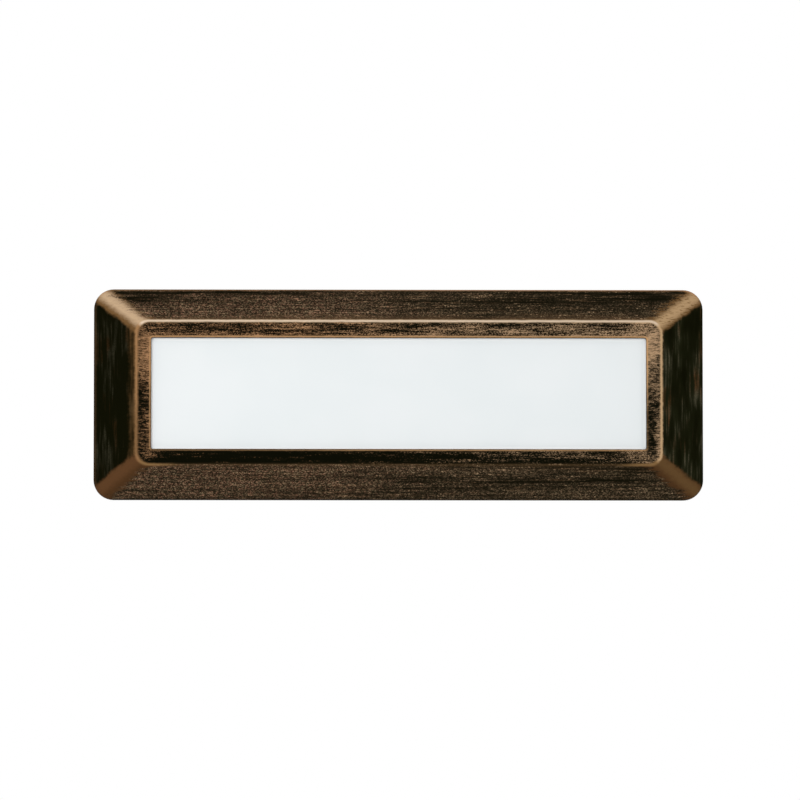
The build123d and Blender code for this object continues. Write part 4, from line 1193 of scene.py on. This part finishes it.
@dataclass
class FrontFrame:
    """Bevelled cast frame round the window, hollow behind, with six screw bosses."""

    edge: float = 3.5
    end_slope: float = 18.4
    long_slope: float = 14.4
    end_bevel: float = 6.2
    long_bevel: float = 6.9
    bevel_drop: float = 3.6
    lip: float = 1.2
    outer_corner: float = 8.5
    ridge_corner: float = 5.5
    window_corner: float = 0.8
    edge_round: float = 0.9
    ridge_round: float = 1.25
    lip_round: float = 0.5
    ridge_depth: float = -14.0
    pocket_inset: float = 5.7
    pocket_corner: float = 3.7
    pocket_wall: float = 2.0
    pocket_end: float = -3.6
    rim: float = 7.5
    rim_corner: float = 3.0
    skin: float = 2.5
    foam_inset: float = 2.5
    foam_width: float = 4.0
    foam_depth: float = 2.0
    least_groove_corner: float = 0.25
    boss_places: tuple[float, ...] = (-87.5, 0.0, 87.5)
    boss_height: float = 34.45
    boss_radius: float = 3.1
    boss_hole: float = 1.55
    boss_hole_depth: float = 6.0
    column_pitch: float = 2.0
    arc_steps: int = 10
    edge_steps: int = 6
    slope_steps: int = 10
    ridge_steps: int = 10
    bevel_steps: int = 5
    lip_steps: int = 6
    boss_sides: int = 20
    wave: float = 0.07
    wave_length: float = 17.0
    wave_seed: float = 40.0
    mitre_blend: float = 0.8
    far_away: float = 50.0
    crease: float = 32.0
    patina: CastPatina = CastPatina()
    foam: ClosedFoam = ClosedFoam()

    def __post_init__(self) -> None:
        """Takes the overall size from the frame's CAD node and works out what follows from it."""
        low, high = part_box("front_frame")
        size = (high - low) / MM
        self.half = (size.x / 2, size.z / 2)
        self.lip_depth = self.ridge_depth + self.bevel_drop
        self.roof = self.lip_depth + self.lip
        self.window = (self.end_slope + self.end_bevel, self.long_slope + self.long_bevel)
        self.mitres = {inner: self.mitre_line(inner) for inner in (False, True)}

    def roof_inset(self, run: float) -> float:
        """Finds how far in the hollow's roof ends, one skin behind a slope that runs in that far."""
        rise = -self.ridge_depth - self.edge
        return ((-self.roof - self.edge) * run + self.skin * math.hypot(run, rise)) / rise

    def front_stations(self) -> tuple[list[Station], int, int, int]:
        """Lists the stations that show, from the wall to the window's lip.

        Returns:
            The stations, and the numbers of the outer edge, the crest and the lip's edge.
        """
        back = Station(0.0, 0.0, 0.0, self.outer_corner)
        outer = Station(0.0, 0.0, -self.edge, self.outer_corner)
        crest = Station(self.end_slope, self.long_slope, self.ridge_depth, self.ridge_corner)
        lip = Station(*self.window, self.lip_depth, self.window_corner)
        lip_back = Station(*self.window, self.roof, self.window_corner)
        edge_round = outer.rounded(back, crest, self.edge_round, self.edge_steps)
        crest_round = crest.rounded(outer, lip, self.ridge_round, self.ridge_steps)
        lip_round = lip.rounded(crest, lip_back, self.lip_round, self.lip_steps)
        made = [back, *edge_round, *edge_round[-1].between(crest_round[0], self.slope_steps)]
        edge_number = 1 + len(edge_round) // 2
        crest_number = len(made) + len(crest_round) // 2
        made += [*crest_round, *crest_round[-1].between(lip_round[0], self.bevel_steps)]
        lip_number = len(made) + len(lip_round) // 2
        return [*made, *lip_round, lip_back], edge_number, crest_number, lip_number

    def back_stations(self) -> list[Station]:
        """Lists the stations behind the lip.

        Returns:
            The stations of the pane's pocket, the hollow, the rim and the foam's groove.
        """
        inner = tuple(inset - self.pocket_inset for inset in self.window)
        outer = tuple(inset - self.pocket_wall for inset in inner)
        under = (self.roof_inset(self.end_slope), self.roof_inset(self.long_slope))
        outer_corner = self.pocket_corner + self.pocket_wall
        foam_end = self.foam_inset + self.foam_width
        groove_corner = self.outer_corner - self.foam_inset
        groove_inside = max(groove_corner - self.foam_width, self.least_groove_corner * groove_corner)
        return [
            Station(*inner, self.roof, self.pocket_corner),
            Station(*inner, self.pocket_end, self.pocket_corner),
            Station(*outer, self.pocket_end, outer_corner),
            Station(*outer, self.roof, outer_corner),
            Station(*under, self.roof, self.rim_corner),
            Station(self.rim, self.rim, -self.edge, self.rim_corner),
            Station(self.rim, self.rim, 0.0, self.rim_corner),
            Station(foam_end, foam_end, 0.0, groove_inside),
            Station(foam_end, foam_end, -self.foam_depth, groove_inside),
            Station(self.foam_inset, self.foam_inset, -self.foam_depth, groove_corner),
            Station(self.foam_inset, self.foam_inset, 0.0, groove_corner),
        ]

    def columns(self) -> list[Column]:
        """Lists the columns once round the frame.

        Returns:
            The columns, from the upper left corner clockwise.
        """
        corners = ((-1, 1), (1, 1), (1, -1), (-1, -1))
        made = []
        for number, corner in enumerate(corners):
            start = math.pi * (1.0 - number / 2)
            for step in range(self.arc_steps + 1):
                angle = start - QUARTER_TURN * step / self.arc_steps
                made.append(Column(corner, (math.cos(angle), math.sin(angle))))
            following = corners[(number + 1) % len(corners)]
            steps = int(2 * self.half[number % 2] / self.column_pitch)
            out = made[-1].out
            for step in range(1, steps):
                share = step / steps
                centre = tuple(a + (b - a) * share for a, b in zip(corner, following))
                made.append(Column(centre, out))
        return made

    def under_slope(self, z: float) -> float:
        """Finds the depth in the middle of a long slope's skin at a height."""
        rise = (self.ridge_depth + self.edge) * (self.half[1] - abs(z)) / self.long_slope
        return rise - self.edge + self.skin / 2

    def add_bosses(self, points: list[Vector], faces: list[Face]) -> None:
        """Adds the six screw bosses, each a closed tube with a blind hole.

        Args:
            points: The frame's points, which grow.
            faces: The frame's faces, which grow.
        """
        floor = self.pocket_end - self.boss_hole_depth
        section = ((self.boss_radius, self.roof), (self.boss_radius, self.pocket_end))
        section += ((self.boss_hole, self.pocket_end), (self.boss_hole, floor))
        for x in self.boss_places:
            for z in (self.boss_height, -self.boss_height):
                rings = []
                for radius, depth in section:
                    rings.append(circle(Vector((x, depth, z)), ALONG, UP, radius, self.boss_sides))
                    for point in rings[-1]:
                        point.y = max(point.y, self.under_slope(point.z))
                add_tube(points, faces, rings)

    def corner_middle(self, end_inset: float, long_inset: float, corner: float) -> Vector:
        """Finds the middle of a ring's upper right corner arc."""
        cut = corner * (1.0 - math.sqrt(0.5))
        return Vector((self.half[0] - end_inset - cut, self.half[1] - long_inset - cut))

    def mitre_line(self, inner: bool) -> tuple[Vector, Vector]:
        """Finds the mitre line of the upper right corner.

        Args:
            inner: True for the line across the inner bevel, False across the slopes.

        Returns:
            A point on the ridge's corner, and the line's direction outwards.
        """
        ridge = self.corner_middle(self.end_slope, self.long_slope, self.ridge_corner)
        if inner:
            return ridge, (ridge - self.corner_middle(*self.window, self.window_corner)).normalized()
        return ridge, (self.corner_middle(0.0, 0.0, self.outer_corner) - ridge).normalized()

    def mitre_distance(self, point: Vector, inner: bool) -> float:
        """Measures how far a point lies from its corner's mitre line.

        Args:
            point: The point.
            inner: True on the inner bevel, False on the slopes.

        Returns:
            The distance, above zero on the long side.
        """
        start, way = self.mitres[inner]
        offset = Vector((abs(point.x), abs(point.z))) - start
        return offset.y * way.x - offset.x * way.y

    def end_share(self, mitre: float) -> float:
        """Gives how far a point belongs to an end instead of a long side, by its mitre distance."""
        return 0.5 - 0.5 * max(-1.0, min(1.0, mitre / self.mitre_blend))

    def swell(self, point: Vector) -> float:
        """Gives the casting's slight unevenness at a point."""
        return noise.noise(Vector((point.x, point.z, self.wave_seed)) / self.wave_length) * self.wave

    def build(self) -> bpy.types.Object:
        """Sweeps the section round the frame and notes the measures that the patina needs.

        Returns:
            The frame's object.
        """
        front, edge_number, crest_number, lip_number = self.front_stations()
        stations = front + self.back_stations()
        columns = self.columns()
        travel = [(0.0, 0.0)]
        for here, there in zip(stations, stations[1:]):
            along, across = here.step(there)
            travel.append((travel[-1][0] + along, travel[-1][1] + across))
        points, reach, corner = [], [], []
        for number, station in enumerate(stations):
            for column in columns:
                point = column.point(self.half, station)
                way = column.length(travel[number])
                to_ridge = way - column.length(travel[crest_number])
                to_lip = way - column.length(travel[lip_number])
                to_edge = abs(way - column.length(travel[edge_number]))
                mitre = self.mitre_distance(point, number > crest_number)
                reach += [to_ridge, to_lip, to_edge]
                corner += [mitre, self.end_share(mitre), 0.0]
                if edge_number < number < lip_number:
                    point.y += self.swell(point)
                points.append(point)
        faces = self.section_faces(len(stations), len(columns))
        swept = len(points)
        self.add_bosses(points, faces)
        reach += [self.far_away, self.far_away, self.far_away] * (len(points) - swept)
        corner += [self.far_away, 0.0, 0.0] * (len(points) - swept)
        made = piece("cast_frame", points, faces, self.crease)
        for name, values in (("reach_mm", reach), ("corner_mm", corner)):
            made.data.attributes.new(name, "FLOAT_VECTOR", "POINT").data.foreach_set("vector", values)
        return made

    def section_faces(self, rings: int, count: int) -> list[Face]:
        """Joins the swept points into faces.

        Args:
            rings: How many rings the section has.
            count: How many points each ring has.

        Returns:
            The faces.
        """
        made = []
        for ring in range(rings):
            here, there = ring * count, ((ring + 1) % rings) * count
            for number in range(count):
                after = (number + 1) % count
                made.append((here + number, there + number, there + after, here + after))
        return made

    def dress(self, made: bpy.types.Object) -> None:
        """Puts the patina on the frame and lets it stand for its CAD node.

        Args:
            made: The frame's object.
        """
        made.data.materials.append(self.patina.material("frame_patina"))
        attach(made, "light_unit")
        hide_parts("front_frame")
        put_on(self.foam, "seal_foam", "wall_seal")
        LOG.info("built %s", made.name)


@dataclass
class Window:
    """Opal pane in its rubber channel."""

    pane: OpalPane = OpalPane()
    rubber: MouldedRubber = MouldedRubber()

    def dress(self) -> None:
        """Finishes the pane and its seal."""
        put_on(self.pane, "opal_pane", "diffuser")
        put_on(self.rubber, "seal_rubber", "diffuser_seal")


@dataclass
class LightTray:
    """Reflector tray with the light source on its floor."""

    enamel: Enamel = Enamel()
    zinc: WorkedMetal = WorkedMetal((172, 175, 181), (150, 144, 128), spangle=1.4)
    board: PrintedBoard = PrintedBoard()
    chip: LightChip = LightChip()
    pad: SiliconeSheet = SiliconeSheet()
    rubber: MouldedRubber = MouldedRubber()
    screws: tuple[str, ...] = ("tray_screws", "led_board_screws", "driver_screws", "earth_washer")
    terminal_screws: tuple[str, ...] = ("terminal_clamp_screws", "terminal_fixing_screws")

    def dress(self) -> None:
        """Finishes the tray, the board and all the plated screws."""
        put_on(self.enamel, "tray_enamel", "reflector_tray")
        put_on(self.zinc, "zinc_steel", *self.screws, *self.terminal_screws)
        put_on(self.pad, "thermal_pad", "thermal_pad")
        put_on(self.board, "led_board", "led_board")
        put_on(self.chip, "led_chip", "led_chips")
        put_on(self.rubber, "seal_rubber", "tray_grommet")


@dataclass
class Driver:
    """Driver in its moulded case, with its circuit and the leads to the light source."""

    shell: MouldedPlastic = MouldedPlastic((206, 206, 201), (196, 196, 190), (226, 226, 222), rough=0.48)
    green: Colour = (24, 92, 52)
    track: Colour = (40, 122, 70)
    track_pitch: float = 3.2
    track_width: float = 1.0
    core: float = 11.0
    red_sheath: WireSheath = WireSheath((176, 28, 22))
    black_sheath: WireSheath = WireSheath((26, 26, 27))

    def circuit(self) -> PrintedBoard:
        """Makes the circuit board's finish, with the faces where the CAD node has them.

        Returns:
            The finish.
        """
        low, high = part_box("driver_circuit")
        return PrintedBoard(
            self.green,
            self.track,
            track_pitch=self.track_pitch,
            track_width=self.track_width,
            front=low.y / MM,
            back=high.y / MM,
        )

    def dress(self) -> None:
        """Finishes the case, the circuit, its components and the leads."""
        put_on(self.shell, "driver_plastic", "driver_case", "driver_lid")
        put_on(self.circuit(), "circuit_board", "driver_circuit")
        low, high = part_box("driver_transformer")
        winding = TapedWinding((low.x + high.x) / 2 / MM, self.core)
        put_on(winding, "transformer", "driver_transformer")
        _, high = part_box("driver_capacitors")
        put_on(SleevedCan(high.y / MM), "capacitor", "driver_capacitors")
        put_on(self.red_sheath, "red_lead", "led_lead_positive")
        put_on(self.black_sheath, "black_lead", "led_lead_negative")


@dataclass
class SupplyTerminals:
    """Terminal block, its leads and the earth connection on the tray."""

    block: MouldedPlastic = MouldedPlastic((212, 211, 204), (202, 201, 193), (228, 227, 222), rough=0.42)
    brass: WorkedMetal = WorkedMetal((214, 176, 104), (168, 128, 66), (3.0, 0.2, 0.2), rough=0.3)
    tin: WorkedMetal = WorkedMetal((198, 198, 196), (160, 156, 148), (2.0, 2.0, 0.3), rough=0.36)
    brown_sheath: WireSheath = WireSheath((112, 66, 38))
    blue_sheath: WireSheath = WireSheath((40, 92, 178))
    earth_green: Colour = (52, 138, 58)
    earth_yellow: Colour = (226, 206, 48)

    def dress(self) -> None:
        """Finishes the block, its brass and the three supply leads."""
        put_on(self.block, "terminal_plastic", "terminal_block")
        put_on(self.brass, "terminal_brass", "terminal_tubes", "earth_screw")
        put_on(self.tin, "tinned_lug", "earth_lug")
        put_on(self.brown_sheath, "brown_lead", "live_lead")
        put_on(self.blue_sheath, "blue_lead", "neutral_lead")
        low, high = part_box("earth_lead")
        middle = (low.z + high.z) / 2 / MM
        put_on(WireSheath(self.earth_green, self.earth_yellow, middle), "earth_lead", "earth_lead")


class Hand(Enum):
    """Which end of the light a clip is on."""

    RIGHT = 1
    LEFT = -1

    @property
    def word(self) -> str:
        """Names the hand as the nodes do."""
        return self.name.lower()


@dataclass
class SprungClip:
    """One sprung clip: bracket, pin, arm, grip and the torsion spring round the pin."""

    hand: Hand
    hinge: Pair = (113.5, 1.95)
    wire: float = 0.45
    radius: float = 2.35
    half_height: float = 3.9375
    turns: int = 5
    fixed_leg: float = 4.5
    moving_leg: float = 16.0
    leg_lean: float = 3.53
    tip_reach: float = 0.5
    tip_size: float = 0.7
    steps_a_turn: int = 28
    wire_sides: int = 12
    crease: float = 50.0
    strip: WorkedMetal = WorkedMetal((182, 183, 185), (142, 141, 139), (5.0, 5.0, 0.18), rough=0.34)
    drawn: WorkedMetal = WorkedMetal((158, 159, 162), (120, 119, 117), (0.3, 0.3, 0.3), rough=0.28)
    aluminium: WorkedMetal = WorkedMetal((200, 201, 204), (168, 168, 170), (0.6, 0.6, 0.6), rough=0.4)
    grip: MouldedRubber = MouldedRubber((38, 38, 39), (74, 72, 70))

    def path(self) -> list[Vector]:
        """Lists the points of the spring's middle line, from the bracket's leg to the arm's.

        Returns:
            The points in millimetres.
        """
        first = -QUARTER_TURN
        last = FULL_TURN * self.turns + math.radians(self.leg_lean)
        steps = int(self.steps_a_turn * (last - first) / FULL_TURN)
        centre = Vector((*self.hinge, 0.0))
        made = [centre + Vector((-self.fixed_leg, -self.radius, -self.half_height))]
        for step in range(steps + 1):
            share = step / steps
            angle = first + (last - first) * share
            reach = Vector((math.cos(angle), math.sin(angle), 0.0)) * self.radius
            made.append(centre + reach + Vector((0.0, 0.0, self.half_height * (2 * share - 1))))
        made.append(made[-1] + Vector((-math.sin(last), math.cos(last), 0.0)) * self.moving_leg)
        return [Vector((point.x * self.hand.value, point.y, point.z)) for point in made]

    def build(self) -> bpy.types.Object:
        """Draws the spring's wire along its path, with rounded ends.

        Returns:
            The spring's object.
        """
        path = self.path()
        spans = zip([path[0], *path], [*path[1:], path[-1]])
        ways = [(after - before).normalized() for before, after in spans]
        tip = self.wire * self.tip_size
        centres = [path[0] - ways[0] * self.wire * self.tip_reach, *path]
        centres.append(path[-1] + ways[-1] * self.wire * self.tip_reach)
        sizes = [tip, *[self.wire] * len(path), tip]
        rings = []
        for centre, way, size in zip(centres, [ways[0], *ways, ways[-1]], sizes):
            across = UP.cross(way).normalized()
            rings.append(circle(centre, across, way.cross(across), size, self.wire_sides))
        points, faces = [], []
        add_tube(points, faces, rings)
        return piece(f"{self.hand.word}_spring_wire", points, faces, self.crease)

    def dress(self, spring: bpy.types.Object) -> None:
        """Lets the spring wind between bracket and arm, and finishes the clip's nodes.

        Args:
            spring: The spring's object.
        """
        word = self.hand.word
        spring.data.materials.append(self.drawn.material("spring_wire"))
        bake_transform(spring)
        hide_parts(f"{word}_clip_spring")
        put_on(self.strip, "clip_steel", f"{word}_clip_bracket", f"{word}_clip_pin", f"{word}_clip_arm")
        put_on(self.grip, "grip_rubber", f"{word}_clip_grip")
        put_on(self.aluminium, "rivet_metal", "clip_rivets")
        LOG.info("built %s", spring.name)


@dataclass
class WallBox:
    """Moulded box in the wall with its cable gland and blanking plug."""

    polymer: MouldedPlastic = MouldedPlastic((62, 63, 66), (74, 75, 78), (122, 122, 122), 0.7, 0.58, 0.05)
    nylon: MouldedPlastic = MouldedPlastic((30, 30, 32), (40, 40, 42), (82, 82, 82), 0.4, 0.42, 0.02)
    rubber: MouldedRubber = MouldedRubber()
    nylon_nodes: tuple[str, ...] = ("entry_locknuts", "gland_body", "gland_cap", "blanking_plug")

    def dress(self) -> None:
        """Finishes the box and everything in its two entries."""
        put_on(self.polymer, "box_polymer", "wall_box")
        put_on(self.nylon, "gland_nylon", *self.nylon_nodes)
        put_on(self.rubber, "seal_rubber", "entry_washers", "gland_seal")


@dataclass(frozen=True)
class Lamp:
    """A soft square lamp: its name, its place and side in metres and its power in watts."""

    name: str
    place: Triple
    side: float
    power: float

    def hang(self) -> None:
        """Hangs the lamp so that it faces the light."""
        data = bpy.data.lights.new(self.name, "AREA")
        data.size = self.side
        data.energy = self.power
        made = bpy.data.objects.new(self.name, data)
        bpy.context.scene.collection.objects.link(made)
        made.location = self.place
        made.rotation_euler = Vector(self.place).to_track_quat("Z", "Y").to_euler()


@dataclass
class Studio:
    """Camera, white surroundings, pale floor and soft lamps."""

    distance: float = 3.0
    turn: float = -0.9
    rise: float = -4.3
    aim: Triple = (0.00062, -0.0035, -0.0023)
    focal_pixels: float = 7031.0
    image_pixels: float = 800.0
    sensor: float = 36.0
    key: Lamp = Lamp("key_lamp", (-0.6, -1.5, 0.3), 0.9, 13.0)
    fill: Lamp = Lamp("fill_lamp", (0.9, -1.3, 0.05), 0.8, 3.0)
    daylight: float = 0.55
    floor_level: float = -0.30
    floor_half: float = 6.0
    floor_crease: float = 30.0
    floor_grey: Colour = (231, 231, 231)
    floor_rough: float = 0.9
    floor_white: float = 0.96

    def build(self) -> None:
        """Sets up the camera, the lamps, the world and the floor."""
        bpy.context.scene.view_settings.view_transform = "Standard"
        self.camera()
        self.key.hang()
        self.fill.hang()
        self.world()
        self.floor()
        LOG.info("set up the studio")

    def camera(self) -> None:
        """Stands the camera where the light is seen from."""
        turn, rise = math.radians(self.turn), math.radians(self.rise)
        level = math.cos(rise)
        back = Vector((math.sin(turn) * level, -math.cos(turn) * level, math.sin(rise)))
        lens = bpy.data.cameras.new("camera")
        lens.sensor_width = self.sensor
        lens.lens = self.focal_pixels * self.sensor / self.image_pixels
        made = bpy.data.objects.new("camera", lens)
        bpy.context.scene.collection.objects.link(made)
        made.location = Vector(self.aim) + back * self.distance
        made.rotation_euler = back.to_track_quat("Z", "Y").to_euler()
        bpy.context.scene.camera = made

    def world(self) -> None:
        """Makes the surroundings white to the eye and in reflections, and plain daylight otherwise."""
        world = bpy.data.worlds.new("surroundings")
        bpy.context.scene.world = world
        world.use_nodes = True
        tree = world.node_tree
        background = tree.nodes["Background"]
        background.inputs["Color"].default_value = (1.0, 1.0, 1.0, 1.0)
        path = tree.nodes.new("ShaderNodeLightPath")
        seen = path.outputs["Is Camera Ray"]
        for name in ("Is Glossy Ray", "Is Transmission Ray"):
            either = tree.nodes.new("ShaderNodeMath")
            either.operation = "MAXIMUM"
            tree.links.new(seen, either.inputs[0])
            tree.links.new(path.outputs[name], either.inputs[1])
            seen = either.outputs[0]
        strength = tree.nodes.new("ShaderNodeMapRange")
        strength.inputs["To Min"].default_value = self.daylight
        strength.inputs["To Max"].default_value = 1.0
        tree.links.new(seen, strength.inputs["Value"])
        tree.links.new(strength.outputs["Result"], background.inputs["Strength"])

    def floor(self) -> None:
        """Lays a pale floor that keeps a soft shadow and can't be seen from below."""
        half, level = self.floor_half / MM, self.floor_level / MM
        corners = [Vector((x * half, y * half, level)) for x, y in ((-1, -1), (1, -1), (1, 1), (-1, 1))]
        made = piece("floor", corners, [(0, 1, 2, 3)], self.floor_crease)
        shade = Shade("pale_floor")
        shade.coat(self.floor_grey, self.floor_rough, Specular_IOR_Level=0.0)
        tree = shade.tree
        glow = shade.node("ShaderNodeEmission")
        path = shade.node("ShaderNodeLightPath")
        seen = Signal(shade, path.outputs["Is Camera Ray"])
        seen = seen.most(Signal(shade, path.outputs["Is Glossy Ray"]))
        lit = shade.node("ShaderNodeMixShader")
        shade.give(seen * self.floor_white, lit.inputs[0])
        tree.links.new(shade.shader.outputs[0], lit.inputs[1])
        tree.links.new(glow.outputs[0], lit.inputs[2])
        below = shade.node("ShaderNodeMixShader")
        tree.links.new(shade.node("ShaderNodeNewGeometry").outputs["Backfacing"], below.inputs[0])
        tree.links.new(lit.outputs[0], below.inputs[1])
        tree.links.new(shade.node("ShaderNodeBsdfTransparent").outputs[0], below.inputs[2])
        tree.links.new(below.outputs[0], tree.nodes["Material Output"].inputs["Surface"])
        made.data.materials.append(shade.material)


def main() -> None:
    """Builds and dresses every sub-assembly."""
    logging.basicConfig(level=logging.INFO, format="%(message)s")
    Studio().build()
    front = FrontFrame()
    front.dress(front.build())
    Window().dress()
    LightTray().dress()
    Driver().dress()
    SupplyTerminals().dress()
    for hand in Hand:
        clip = SprungClip(hand)
        clip.dress(clip.build())
    WallBox().dress()


if __name__ == "__main__":
    main()
